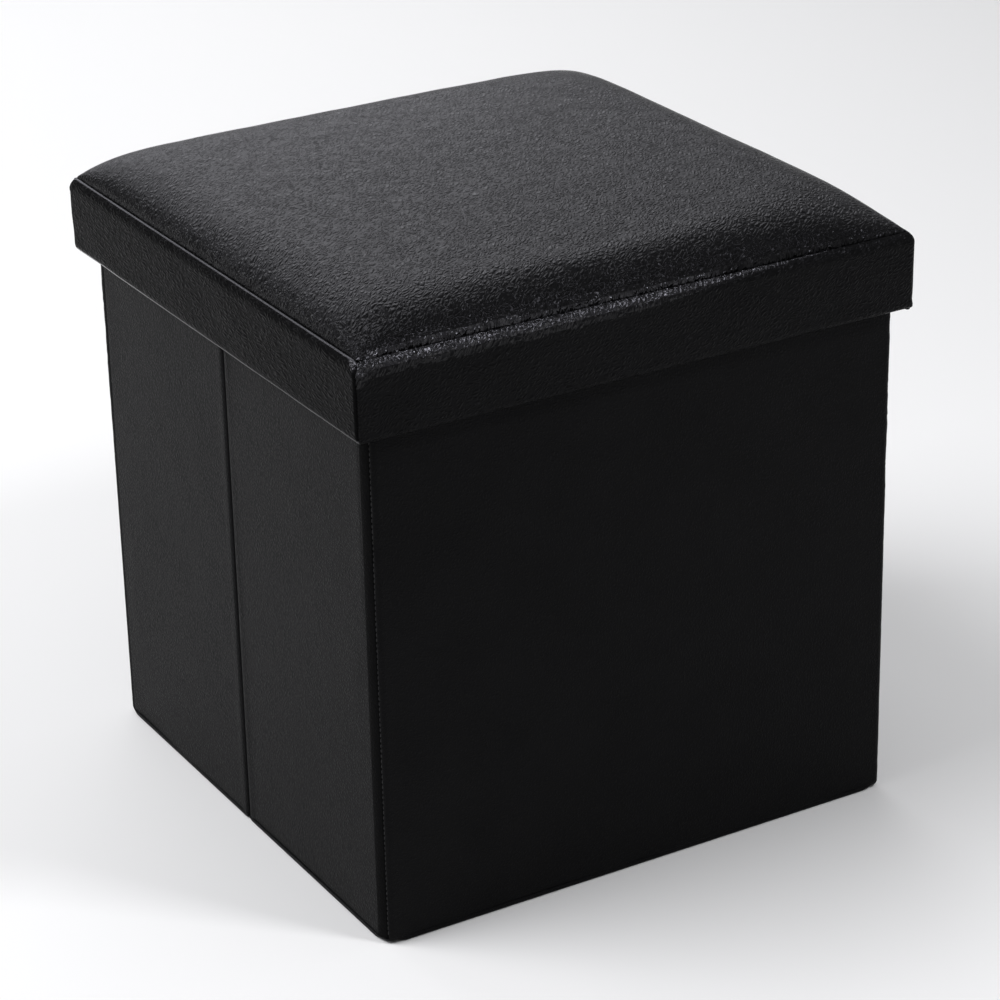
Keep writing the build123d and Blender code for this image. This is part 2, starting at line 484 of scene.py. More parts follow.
def lattice_noise(x: np.ndarray, y: np.ndarray, size: float, seed: int) -> np.ndarray:
    """Smooth random relief: seeded values on a square lattice, eased between its points.

    Args:
        x: First coordinate of each point, in metres.
        y: Second coordinate, of the same shape.
        size: Lattice spacing in metres.
        seed: Seed of the values.

    Returns:
        Values about 0, mostly within -1 and 1, of the shape of x.
    """
    count = 64
    values = np.random.default_rng(seed).uniform(-1.0, 1.0, (count, count))
    i, j = x / size, y / size
    i0, j0 = np.floor(i).astype(int), np.floor(j).astype(int)
    a, b = smooth(i - i0), smooth(j - j0)
    i0, i1, j0, j1 = (number % count for number in (i0, i0 + 1, j0, j0 + 1))
    near = values[i0, j0] * (1 - a) + values[i1, j0] * a
    far = values[i0, j1] * (1 - a) + values[i1, j1] * a
    return near * (1 - b) + far * b


def puckers(along: np.ndarray, away: np.ndarray, strength: np.ndarray, seed: int) -> np.ndarray:
    """Gathers beside a sewn seam: ridges across the seam that die out away from it.

    Ridges of two spacings lean and wander a little as they leave the seam; sharp valleys lie
    between round crests, and their length varies along the seam.

    Args:
        along: Distance along the seam in metres.
        away: Distance from the seam, in metres, not negative.
        strength: Height of the gathers in metres at each point along the seam.
        seed: Seed of the pattern.

    Returns:
        Height in metres, of the shape of along.
    """
    wander = 2.2 * MM * lattice_noise(along, away, 9 * MM, seed)
    drawn = 0.22 * away
    fine = lattice_noise(along + wander, drawn, 2.6 * MM, seed + 1)
    broad = lattice_noise(along - wander, drawn, 5.5 * MM, seed + 2)
    reach = 5.5 * MM * (1.0 + 0.6 * lattice_noise(along, 0.0 * away, 12 * MM, seed + 3))
    ridge = 0.6 * (1.0 - 1.8 * np.abs(fine)) + 0.7 * broad
    return strength * ridge * np.exp(-((away / reach) ** 1.4))


def quads(rows: int, columns: int, closed: bool = False) -> np.ndarray:
    """Corner numbers of the four-sided faces of a grid of points stored row by row.

    Args:
        rows: Number of rows of points.
        columns: Points in a row.
        closed: Whether the last column joins the first.

    Returns:
        An array with four point numbers a face.
    """
    across = np.arange(columns if closed else columns - 1)
    r, c = np.meshgrid(np.arange(rows - 1), across, indexing="ij")
    here, right = r * columns + c, r * columns + (c + 1) % columns
    return np.stack([here, right, right + columns, here + columns], axis=-1).reshape(-1, 4)


def facing(points: np.ndarray, outward: np.ndarray) -> np.ndarray:
    """Faces of a grid of points, wound so that they look outwards.

    Args:
        points: Grid of points, rows by columns by three.
        outward: A vector that points out of the surface, or one for each grid point.

    Returns:
        Face corners, reversed where the grid runs the other way.
    """
    across = np.cross(np.diff(points, axis=1)[:-1], np.diff(points, axis=0)[:, :-1])
    agree = np.sum(across * np.broadcast_to(outward, points.shape)[:-1, :-1])
    faces = quads(points.shape[0], points.shape[1])
    return faces if agree > 0 else faces[:, ::-1]


def add_mesh(
    name: str, points: np.ndarray, faces: list, material: Material
) -> Object:
    """Put points and faces into a smooth-shaded mesh object at the origin.

    Args:
        name: The piece's name.
        points: Points as rows of three numbers, in metres.
        faces: Faces as rows of point numbers.
        material: The finish.

    Returns:
        The new object.
    """
    mesh = bpy.data.meshes.new(name)
    mesh.from_pydata(points.reshape(-1, 3).tolist(), [], [list(map(int, f)) for f in faces])
    mesh.polygons.foreach_set("use_smooth", np.ones(len(mesh.polygons), bool))
    mesh.materials.append(material)
    mesh.update()
    piece = bpy.data.objects.new(name, mesh)
    bpy.context.scene.collection.objects.link(piece)
    return piece


def add_rings(name: str, xy: np.ndarray, z: np.ndarray, up: bool, lining: Material) -> Object:
    """Put rings of points in as a sheet of lining, closed across the last ring.

    Args:
        name: The piece's name.
        xy: Plan of the points, ring by ring.
        z: Their heights.
        up: Whether the sheet looks up.
        lining: The finish.

    Returns:
        The sheet.
    """
    rows, columns = z.shape
    order = 1 if up else -1
    faces = quads(rows, columns, closed=True)[:, ::order].tolist()
    faces.append(((rows - 1) * columns + np.arange(columns))[::order].tolist())
    return add_mesh(name, np.concatenate([xy, z[..., None]], axis=-1), faces, lining)


def add_finishes(piece: Object, materials: tuple, numbers: np.ndarray) -> None:
    """Give a piece more finishes, and each of its faces one of them.

    Args:
        piece: The mesh object, which has its first finish.
        materials: The finishes after the first.
        numbers: The place of each face's finish among all of them.
    """
    for material in materials:
        piece.data.materials.append(material)
    piece.data.polygons.foreach_set("material_index", numbers.astype(np.int32))


def add_cloth_map(piece: Object, uv: np.ndarray) -> None:
    """Give a piece a UV map named cloth, from one pair of metres for each point.

    Args:
        piece: The mesh object.
        uv: One row of two numbers for each point.
    """
    layer = piece.data.uv_layers.new(name="cloth")
    corners = np.zeros(len(piece.data.loops), np.int32)
    piece.data.loops.foreach_get("vertex_index", corners)
    layer.data.foreach_set("uv", uv[corners].astype(np.float32).ravel())


def thicken(piece: Object, thickness: float) -> None:
    """Give a sheet its thickness on its inner side, with closed edges.

    Args:
        piece: The sheet.
        thickness: Thickness in metres.
    """
    solid = piece.modifiers.new("thickness", "SOLIDIFY")
    solid.thickness = thickness
    solid.offset = -1.0


def spaced(length: float, step: float, fine: float, reach: float) -> np.ndarray:
    """Stations along a length, close together at both ends and wider apart between.

    The spacing eases from fine at the ends to step at a distance reach from them.

    Args:
        length: The length in metres.
        step: Spacing in the middle.
        fine: Spacing at the ends.
        reach: Distance over which the spacing grows.

    Returns:
        Stations from 0 to length.
    """
    probe = np.linspace(0.0, length, 4000)
    edge = np.minimum(probe, length - probe)
    density = 1.0 / (fine + (step - fine) * smooth(edge / reach))
    count = np.concatenate([[0.0], np.cumsum((density[1:] + density[:-1]) / 2 * np.diff(probe))])
    number = int(math.ceil(count[-1]))
    return np.interp(np.linspace(0.0, count[-1], number + 1), count, probe)


def joined(sections: list) -> tuple[np.ndarray, np.ndarray]:
    """Join the sections of a profile, each a pair of insets and heights, end to end."""
    insets, heights = zip(*sections)
    return np.concatenate(insets), np.concatenate(heights)


@dataclass(frozen=True)
class FrameSizes:
    """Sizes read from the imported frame, in metres."""

    body_x: float
    body_y: float
    wall_top: float
    wall_thickness: float
    hem_top: float
    lining_top: float
    corner_radius: float
    crease_gap: float
    lid_x: float
    lid_y: float
    band_bottom: float
    seam_z: float
    seam_x: float
    seam_y: float
    crown_z: float
    turn_up_x: float
    turn_up_top: float
    lid_board_bottom: float
    lid_board_top: float

    @classmethod
    def read(cls) -> "FrameSizes":
        """Measure the CAD nodes that the dressed pieces stand for.

        Returns:
            The sizes.
        """
        front_low, front_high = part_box("front_cover")
        side_low, side_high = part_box("left_front_cover")
        strip_low, strip_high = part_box("front_left_corner_strip")
        band_low, band_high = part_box("lid_left_band")
        board_low, board_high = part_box("lid_board")
        crown_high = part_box("lid_top_cover")[1]
        return cls(
            body_x=-side_low.x,
            body_y=-front_low.y,
            wall_top=front_high.z,
            wall_thickness=front_high.y - front_low.y,
            hem_top=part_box("front_hem")[1].z,
            lining_top=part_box("front_lining")[1].z,
            corner_radius=strip_high.y - strip_low.y,
            crease_gap=-side_high.y,
            lid_x=-band_low.x,
            lid_y=-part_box("lid_front_band")[0].y,
            band_bottom=band_low.z,
            seam_z=band_high.z,
            seam_x=crown_high.x,
            seam_y=crown_high.y,
            crown_z=crown_high.z,
            turn_up_x=-band_high.x,
            turn_up_top=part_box("lid_lining")[0].z,
            lid_board_bottom=board_low.z,
            lid_board_top=board_high.z,
        )

    @property
    def pivot_x(self) -> float:
        """Distance of the corner hinge lines from the middle, along X."""
        return self.body_x - self.corner_radius

    @property
    def pivot_y(self) -> float:
        """Distance of the corner hinge lines from the middle, along Y."""
        return self.body_y - self.corner_radius


def cubic_weights(fine: np.ndarray, count: int) -> np.ndarray:
    """Weights that carry values at even knots on -1 to 1 to finer places by Catmull-Rom cubics.

    Args:
        fine: Places between -1 and 1.
        count: Number of knots.

    Returns:
        A matrix with a row for each place and a column for each knot.
    """
    spot = (fine + 1.0) / 2.0 * (count - 1)
    base = np.clip(np.floor(spot).astype(int), 0, count - 2)
    t = spot - base
    parts = (
        -0.5 * t + t**2 - 0.5 * t**3,
        1.0 - 2.5 * t**2 + 1.5 * t**3,
        0.5 * t + 2.0 * t**2 - 1.5 * t**3,
        -0.5 * t**2 + 0.5 * t**3,
    )
    weights = np.zeros((len(fine), count))
    rows = np.arange(len(fine))
    for shift, part in zip((-1, 0, 1, 2), parts):
        np.add.at(weights, (rows, np.clip(base + shift, 0, count - 1)), part)
    return weights


@dataclass
class LidCushion:
    """The padded top of the lid: a crowned panel of leather cloth over foam, sewn in at the seam.

    Its front edge is rubbed bright in the gathers, less deep towards the right. A slack strip,
    slack_share times as deep, grades the rubbed one into the panel.
    """

    sizes: FrameSizes
    finishes: Finishes
    shoulder: float = 8.0
    roundness: float = 0.5
    soft_corner: float = 0.31
    soft_reach: float = 45.0 * MM
    seam_tuck: float = 1.1 * MM
    corner_radius: float = 1.8 * MM
    lines_x: int = 361
    lines_y: int = 251
    dimple: float = 0.35 * MM
    fine_dimple: float = 0.12 * MM
    front_gather: float = 0.1 * MM
    heavy_gather: float = 0.34 * MM
    heavy_end: float = 0.12
    heavy_fade: float = 0.22
    faint_gather: float = 0.16 * MM
    faint_weight: float = 0.35
    corner_gather: float = 0.2 * MM
    corner_reach: float = 28.0 * MM
    rubbed: float = 1.1 * MM
    rubbed_end: float = 0.1
    rubbed_fade: float = 0.2
    slack_share: float = 2.5
    sim_lines: int = 97
    pressure: float = 0.5
    frames: int = 20
    movement_cap: float = 1.5 * MM
    smoothings: int = 6

    def places(self, count: int) -> np.ndarray:
        """Grid lines from -1 to 1, closer together towards the seam."""
        even = np.linspace(-1.0, 1.0, count)
        return 0.35 * even + 0.65 * np.sin(even * QUARTER)

    def crown(self, lines_x: np.ndarray, lines_y: np.ndarray) -> np.ndarray:
        """Points of the crown over a grid of lines.

        The height is the crown's rise times one factor for each direction. A factor is
        (1 - (1 - d) ** shoulder) ** roundness, where d runs from 0 at the seam to 1 at the middle,
        so it is steep at the seam, then round, then nearly flat, and lower towards the corners.
        The front right corner is slacker than the others. The grid's square corners are bent to
        quarter circles.

        Args:
            lines_x: Grid lines along X, from -1 to 1.
            lines_y: Grid lines along Y, from -1 to 1.

        Returns:
            Points as a grid, in metres.
        """
        s, radius = self.sizes, self.corner_radius
        half_x, half_y = s.seam_x - self.seam_tuck, s.seam_y - self.seam_tuck
        gx, gy = np.meshgrid(lines_x, lines_y, indexing="ij")
        rise = s.crown_z - s.seam_z
        for share in (gx, gy):
            rise = rise * np.maximum(1.0 - np.abs(share) ** self.shoulder, 0.0) ** self.roundness
        slack_x = (1.0 - gx) * half_x / self.soft_reach
        slack_y = (1.0 + gy) * half_y / self.soft_reach
        rise = rise * (1.0 - self.soft_corner * np.exp(-(slack_x**2) - slack_y**2))
        p = np.clip((np.abs(gx) * half_x - (half_x - radius)) / radius, 0.0, 1.0)
        q = np.clip((np.abs(gy) * half_y - (half_y - radius)) / radius, 0.0, 1.0)
        x = gx * half_x - np.sign(gx) * radius * p * (1.0 - np.sqrt(1.0 - q * q / 2.0))
        y = gy * half_y - np.sign(gy) * radius * q * (1.0 - np.sqrt(1.0 - p * p / 2.0))
        return np.stack([x, y, s.seam_z + rise], axis=-1)

    def simulate(self, start: np.ndarray) -> np.ndarray:
        """Blow the sewn panel up as cloth held at the seam.

        Args:
            start: Points of the panel as a grid.

        Returns:
            Movement of each point, in metres.
        """
        faces = quads(self.sim_lines, self.sim_lines)
        panel = add_mesh("panel_to_inflate", start, faces, self.finishes.top)
        number = np.arange(self.sim_lines**2).reshape(self.sim_lines, self.sim_lines)
        edge = np.unique(np.concatenate([number[0], number[-1], number[:, 0], number[:, -1]]))
        held = panel.vertex_groups.new(name="seam")
        held.add(edge.tolist(), 1.0, "REPLACE")
        cloth = panel.modifiers.new("leather", "CLOTH")
        leather = cloth.settings
        leather.quality = 6
        leather.mass = 0.4
        leather.tension_stiffness = 40.0
        leather.compression_stiffness = 20.0
        leather.shear_stiffness = 12.0
        leather.bending_stiffness = 20.0
        leather.vertex_group_mass = "seam"
        leather.use_pressure = True
        leather.uniform_pressure_force = self.pressure
        leather.effector_weights.gravity = 0.0
        cloth.collision_settings.use_collision = False
        cloth.point_cache.frame_start = 1
        cloth.point_cache.frame_end = self.frames
        scene = bpy.context.scene
        for frame in range(1, self.frames + 1):
            scene.frame_set(frame)
        shaped = panel.evaluated_get(bpy.context.evaluated_depsgraph_get()).to_mesh()
        flat = np.zeros(start.size, np.float32)
        shaped.vertices.foreach_get("co", flat)
        bpy.data.objects.remove(panel, do_unlink=True)
        scene.frame_set(1)
        return flat.reshape(start.shape).astype(float) - start

    def inflate(self) -> np.ndarray:
        """How far the panel moves under pressure, capped and smoothed.

        Each smoothing replaces a movement by half of itself and half of its four neighbours' mean,
        because the foam under the cloth takes out small wrinkles.

        Returns:
            Movement of each point of the coarse grid, in metres, no more than the cap.
        """
        lines = self.places(self.sim_lines)
        start = self.crown(lines, lines)
        moved = self.simulate(start)
        far = np.linalg.norm(moved, axis=-1, keepdims=True)
        LOG.info("cushion panel moved up to %.2f mm", far.max() / MM)
        moved = moved * np.minimum(1.0, self.movement_cap / np.maximum(far, 1e-9))
        for _ in range(self.smoothings):
            around = moved[2:, 1:-1] + moved[:-2, 1:-1] + moved[1:-1, 2:] + moved[1:-1, :-2]
            moved[1:-1, 1:-1] = 0.5 * moved[1:-1, 1:-1] + 0.125 * around
        return moved

    def gathers(self, points: np.ndarray) -> np.ndarray:
        """Height of the gathers that the seam draws into the panel's edge.

        They are strong along the front near its left end, and faint along the other seams.

        Args:
            points: Grid of points.

        Returns:
            Height in metres of each point.
        """
        half_x, half_y = self.sizes.seam_x, self.sizes.seam_y
        x, y = points[..., 0], points[..., 1]
        heavy = smooth((self.heavy_end - x) / self.heavy_fade)
        heavy = self.front_gather + self.heavy_gather * heavy
        faint, weak = self.faint_gather, self.faint_weight
        edges = (
            (x, half_y + y, heavy, 1.0, 11),
            (x, half_y - y, faint, weak, 23),
            (y, half_x + x, faint, weak, 37),
            (y, half_x - x, faint, weak, 41),
        )
        total = np.zeros(x.shape)
        for along, away, strength, weight, seed in edges:
            corner = smooth(1.0 - (half_x - np.abs(along)) / self.corner_reach)
            height = weight * (strength + self.corner_gather * corner)
            total += puckers(along, np.maximum(away, 0.0), height, seed)
        return total

    def skin(self, lines_x: np.ndarray, lines_y: np.ndarray) -> np.ndarray:
        """Points of the finished top: the inflated crown with its dimples and gathers.

        Args:
            lines_x: Grid lines along X, from -1 to 1.
            lines_y: Grid lines along Y, from -1 to 1.

        Returns:
            Points as a grid, in metres.
        """
        s = self.sizes
        along_x = cubic_weights(np.linspace(-1.0, 1.0, self.lines_x), self.sim_lines)
        along_y = cubic_weights(np.linspace(-1.0, 1.0, self.lines_y), self.sim_lines)
        moved = np.einsum("ia,abk,jb->ijk", along_x, self.inflate(), along_y)
        points = self.crown(lines_x, lines_y) + moved
        top = points[..., 2].max() - s.seam_z
        points[..., 2] = s.seam_z + (points[..., 2] - s.seam_z) * (s.crown_z - s.seam_z) / top
        normal = np.cross(np.gradient(points, axis=0), np.gradient(points, axis=1))
        normal /= np.maximum(np.linalg.norm(normal, axis=-1, keepdims=True), 1e-12)
        x, y = points[..., 0], points[..., 1]
        dimples = self.dimple * lattice_noise(x, y, 55 * MM, 5)
        dimples += self.fine_dimple * lattice_noise(x, y, 17 * MM, 6)
        inner = smooth(np.minimum.outer(1 - np.abs(lines_x), 1 - np.abs(lines_y)) / 0.1)
        points = points + normal * (self.gathers(points) + dimples * inner)[..., None]
        points[..., :2] += LID_SLIP
        return points

    def build(self) -> Object:
        """Make the cushion as one closed piece and hang it on the lid.

        Returns:
            The cushion.
        """
        s = self.sizes
        lines_x, lines_y = self.places(self.lines_x), self.places(self.lines_y)
        points = self.skin(lines_x, lines_y)
        count = self.lines_x * self.lines_y
        number = np.arange(count).reshape(self.lines_x, self.lines_y)
        ring = np.concatenate([number[:-1, 0], number[-1, :-1], number[:0:-1, -1], number[0, :0:-1]])
        rows = [points.reshape(-1, 3)]
        for inset, drop in ((0.5 * MM, 1.2 * MM), (1.2 * MM, s.seam_z - s.lid_board_top)):
            lower = rows[0][ring]
            lower[:, :2] -= (lower[:, :2] - LID_SLIP) * inset / np.array([s.seam_x, s.seam_y])
            lower[:, 2] = s.seam_z - drop
            rows.append(lower)
        faces = facing(points, np.array([0.0, 0.0, 1.0])).tolist()
        size = len(ring)
        loops = np.stack([ring, count + np.arange(size), count + size + np.arange(size)])
        for upper, under in zip(loops[:-1], loops[1:]):
            corners = [upper, under, np.roll(under, -1), np.roll(upper, -1)]
            faces += np.stack(corners, axis=-1).tolist()
        faces.append(loops[-1][::-1].tolist())
        cushion = add_mesh("lid_cushion", np.concatenate(rows), faces, self.finishes.top)
        finish = np.zeros(len(faces), np.int32)
        left = smooth((self.rubbed_end - lines_x[1:] * s.seam_x) / self.rubbed_fade)
        depth = self.rubbed * (0.4 + 0.6 * left)
        away = (1.0 + lines_y[1:]) * s.seam_y / depth[:, None]
        finish[: away.size] = np.select([away < 1.0, away < self.slack_share], [1, 2], 0).ravel()
        add_finishes(cushion, (self.finishes.gathered, self.finishes.slack), finish)
        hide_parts("lid_top_cover", "lid_foam")
        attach(cushion, "lid")
        return cushion


@dataclass
class LidBand:
    """One side of the lid's boxing band, from the top seam round the bottom edge to its inner edge."""

    sizes: FrameSizes
    finishes: Finishes
    material: Material
    name: str
    along_axis: int
    sign: int
    seed: int
    front_heavy: bool = False
    bunched: bool = False
    ledge: float = 0.3 * MM
    wide_ledge: float = 0.5 * MM
    thickness: float = 1.1 * MM
    corner_radius: float = 3.4 * MM
    shoulder_radius: float = 7.6 * MM
    shoulder_turn: float = math.radians(54.0)
    lip_radius: float = 0.7 * MM
    foot_depth: float = 2.8 * MM
    foot_height: float = 5.5 * MM
    foot_lean: float = 0.45 * MM
    inner_radius: float = 1.4 * MM
    seam_dip: float = 0.95 * MM
    gather: float = 0.05 * MM
    corner_gather: float = 0.16 * MM
    heavy_gather: float = 0.3 * MM
    heavy_end: float = 0.13
    heavy_fade: float = 0.2
    corner_reach: float = 34.0 * MM
    ridge: float = 0.1 * MM
    bead: float = 0.22 * MM
    ridge_depth: float = 7.0 * MM
    ridge_width: float = 1.1 * MM
    ripple: float = 0.22 * MM
    bunch: float = 0.55 * MM
    bunch_reach: float = 7.0 * MM
    rubbed: float = 4.6 * MM
    rubbed_end: float = 0.14
    bunch_rubbed: float = 3.0 * MM
    slack_share: float = 1.9
    corner_drop: float = 1.5 * MM
    slip_inset: float = 5.0 * MM
    slip_fade: float = 200.0 * MM
    step: float = 1.3 * MM

    def profile(self) -> tuple[np.ndarray, np.ndarray]:
        """Inset from the widest outline, and height, along the band from seam to inner edge.

        A narrow ledge at the seam rolls over a small lip to a round shoulder, which turns out to the
        face. The face leans in by a parabola towards its foot, which rolls under by a quarter of an
        ellipse and goes up behind.

        Returns:
            Insets and heights in metres.
        """
        s, r = self.sizes, self.inner_radius
        turn = np.linspace(0.0, QUARTER, 6)
        roll = np.linspace(math.radians(92.0), self.shoulder_turn, 6)[:-1]
        bend = np.linspace(self.shoulder_turn, 0.0, 13)
        lip_gap = self.shoulder_radius - self.lip_radius
        lip_inset = self.shoulder_radius - lip_gap * math.cos(self.shoulder_turn)
        lip_height = s.seam_z - self.lip_radius
        shoulder_foot = lip_height - lip_gap * math.sin(self.shoulder_turn)
        face_foot = s.band_bottom + self.foot_height
        face = np.linspace(shoulder_foot, face_foot, 30)[1:]
        lean = self.foot_lean * ((shoulder_foot - face) / (shoulder_foot - face_foot)) ** 2
        foot = lean[-1] + self.foot_depth
        depth = s.lid_x - s.turn_up_x
        under = np.linspace(foot, depth - r, 4)[1:-1]
        rise = np.linspace(s.band_bottom + r, s.turn_up_top, 6)[1:]
        sewn_in = np.array([0.4 * MM, 0.25 * MM, 0.0])
        sewn_down = np.array([2.2 * MM, 0.5 * MM, 0.0])
        sections = [
            (lip_inset + self.ledge + sewn_in, s.seam_z - sewn_down),
            (lip_inset - self.lip_radius * np.cos(roll), lip_height + self.lip_radius * np.sin(roll)),
            (
                self.shoulder_radius * (1 - np.cos(bend)),
                shoulder_foot + self.shoulder_radius * np.sin(bend),
            ),
            (lean, face),
            (
                lean[-1] + self.foot_depth * (1 - np.cos(turn[1:])),
                face_foot - self.foot_height * np.sin(turn[1:]),
            ),
            (under, np.full(len(under), s.band_bottom)),
            (depth - r * (1 - np.sin(turn)), s.band_bottom + r * (1 - np.cos(turn))),
            (np.full(len(rise), depth), rise),
        ]
        return joined(sections)

    def path(self) -> tuple[np.ndarray, np.ndarray, np.ndarray]:
        """Plan of the widest outline along this side: straight, then rounded to the corner seams.

        Returns:
            Distance along, offset from the straight line, and the tilt of the outward direction.
        """
        half = self.sizes.lid_x if self.along_axis == 0 else self.sizes.lid_y
        radius = self.corner_radius
        straight = half - radius
        arc = radius * math.pi / 4
        station = spaced(2 * (straight + arc), self.step, 0.35 * MM, 14 * MM) - (straight + arc)
        tilt = np.clip((np.abs(station) - straight) / radius, 0.0, math.pi / 4)
        along = np.clip(station, -straight, straight) + np.sign(station) * radius * np.sin(tilt)
        return along, radius * (1.0 - np.cos(tilt)), tilt * np.sign(station)

    def relief(self, along: np.ndarray, height: np.ndarray, front: np.ndarray) -> np.ndarray:
        """Gathers below the seam, the seam allowance's ridge, and slack ripples on the face.

        Args:
            along: Distance along the side for each grid point.
            height: Height of each grid point.
            front: Share of the outer face, 1 on it and 0 behind.

        Returns:
            Outward relief in metres.
        """
        half = self.sizes.lid_x
        below = np.maximum(self.sizes.seam_z - height, 0.0)
        corner = smooth(1.0 - (half - np.abs(along)) / self.corner_reach)
        strength = self.gather + self.corner_gather * corner
        if self.front_heavy:
            heavy = smooth((self.heavy_end - along) / self.heavy_fade)
            strength = strength + self.heavy_gather * heavy
        gathers = puckers(along, np.maximum(below - 1.0 * MM, 0.0), strength * 1.1, self.seed)
        beads = 0.5 + 0.5 * np.sin(along / STITCH_PITCH * 2 * math.pi)
        ridge = self.ridge + self.bead * corner * beads
        ridge = ridge * bell(below, self.ridge_depth, self.ridge_width)
        ripples = self.ripple * lattice_noise(along, 2.2 * height, 30 * MM, self.seed + 7)
        bunch_middle = self.bunch_reach / 2
        bunch = bell(half + along, bunch_middle, bunch_middle) * self.bunched
        lumps = bell(below, 2.6 * MM, 1.3 * MM) + 0.8 * bell(below, 8.0 * MM, 1.6 * MM)
        gathers = gathers + self.bunch * bunch * lumps
        return front * (gathers + ridge + ripples * smooth(below / (12 * MM)))

    def finish_numbers(self, along: np.ndarray, insets: np.ndarray, heights: np.ndarray) -> np.ndarray:
        """Which finish each face has, by its place in the band's list of materials.

        0 is the band's own, 1 the folded edges, 2 the rubbed gathers and 3 the slack below them. The
        folded edges shine only on a band with a wide ledge. The gathers are rubbed along the front
        seam, less deep towards its right end and in an uneven line, and round the bunched corner.

        Args:
            along: Distance along the side of each station.
            insets: Inset of each profile point.
            heights: Height of each profile point.

        Returns:
            A number for each face, station by station.
        """
        s = self.sizes
        below = (s.seam_z - heights[:-1])[None, :]
        outer = np.arange(len(insets) - 1) < np.argmin(heights)
        rolled = outer & (heights[1:] < s.band_bottom + 0.4 * self.foot_height)
        ledge = (below < MM) & (insets[:-1] > 0.4 * self.shoulder_radius)
        folded = (ledge | rolled) & (self.ledge > self.wide_ledge)
        uneven = 1.0 + 0.08 * lattice_noise(along, 0.0 * along, 3 * MM, self.seed + 9)
        heavy = smooth((self.rubbed_end - along) / self.heavy_fade) * self.front_heavy
        depth = self.rubbed * uneven * heavy
        corner = bell(along, -s.lid_x, self.bunch_reach) * self.bunched
        depth = (depth + self.bunch_rubbed * uneven * corner)[:-1, None]
        near = outer & (insets[:-1] < 6 * MM)
        rubbed = near & (below < depth)
        slack = near & (below < self.slack_share * depth)
        return np.select([folded, rubbed, slack], [1, 2, 3], 0).ravel()

    def build(self) -> Object:
        """Make the band and hang it on the lid.

        The corners dip into their seams and the seam drops there. The lid's slip takes the whole
        outer face with it, but fades out in the foot towards the front and the right, because there
        the board behind it would show.

        Returns:
            The band.
        """
        s = self.sizes
        insets, heights = self.profile()
        along, offset, tilt = self.path()
        shape = (len(along), len(insets))
        inset, height = np.broadcast_to(insets, shape), np.broadcast_to(heights, shape)
        reach = np.broadcast_to(along[:, None], shape)
        face = smooth((s.lid_x - s.turn_up_x) / 2 / MM - inset / MM + 0.5)
        corner_gap = np.min([along - along[0], along[-1] - along], axis=0)[:, None]
        upper = smooth((height - s.band_bottom) / self.foot_height)
        dip = self.seam_dip * bell(corner_gap, 0.0, 0.9 * MM)
        out = self.relief(reach, height, face) - face * upper * dip
        back = inset - out * smooth((s.seam_z - height) / (1.2 * MM))
        reach = reach - back * np.sin(tilt)[:, None]
        away = offset[:, None] + back * np.cos(tilt)[:, None]
        across = self.sign * ((s.lid_y if self.along_axis == 0 else s.lid_x) - away)
        order = (reach, across) if self.along_axis == 0 else (across, reach)
        drop = self.corner_drop * bell(corner_gap, 0.0, 4 * MM)
        drop = drop * smooth((height - s.seam_z) / (8 * MM) + 1.0)
        points = np.stack([*order, height - drop], axis=-1)
        towards = np.array([1.0, -1.0]) * points[..., :2]
        kept = 1.0 - smooth(0.5 + towards / self.slip_fade) * (1.0 - upper[..., None])
        points[..., :2] += kept * (inset < self.slip_inset)[..., None] * LID_SLIP
        outward = np.zeros_like(points)
        outward[..., 1 - self.along_axis] = self.sign * (inset < 1 * MM)
        band = add_mesh(f"lid_{self.name}_leather", points, facing(points, outward), self.material)
        more = (self.finishes.folded_edge, self.finishes.gathered, self.finishes.slack)
        finish = self.finish_numbers(along, insets, heights)
        add_finishes(band, more, finish)
        level = np.tile(heights[1:] > s.seam_z - MM, len(along) - 1)
        band.data.polygons.foreach_set("use_smooth", (finish != 1) | ~level)
        thicken(band, self.thickness)
        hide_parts(f"lid_{self.name}_band")
        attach(band, "lid")
        return band


@dataclass(frozen=True)
class PanelPlan:
    """Stations along one panel in plan, with what the outline does at each of them."""

    run: np.ndarray
    plan: np.ndarray
    normal: np.ndarray
    past: np.ndarray
    foot: np.ndarray

    def foot_inset(self, height: np.ndarray) -> np.ndarray:
        """Inset of the rounded foot: r less the root of (r squared less (r - height) squared).

        Args:
            height: Heights above the floor.

        Returns:
            Inset in metres of each station at each height.
        """
        r = self.foot[:, None]
        rest = np.clip(r - height[None, :], 0.0, None)
        return r - np.sqrt(r * r - rest * rest)

    def inwards(self, back: np.ndarray) -> np.ndarray:
        """Plan of the points that lie a distance back from the outline at each station."""
        return self.plan[:, None, :] - self.normal[:, None, :] * back[..., None]


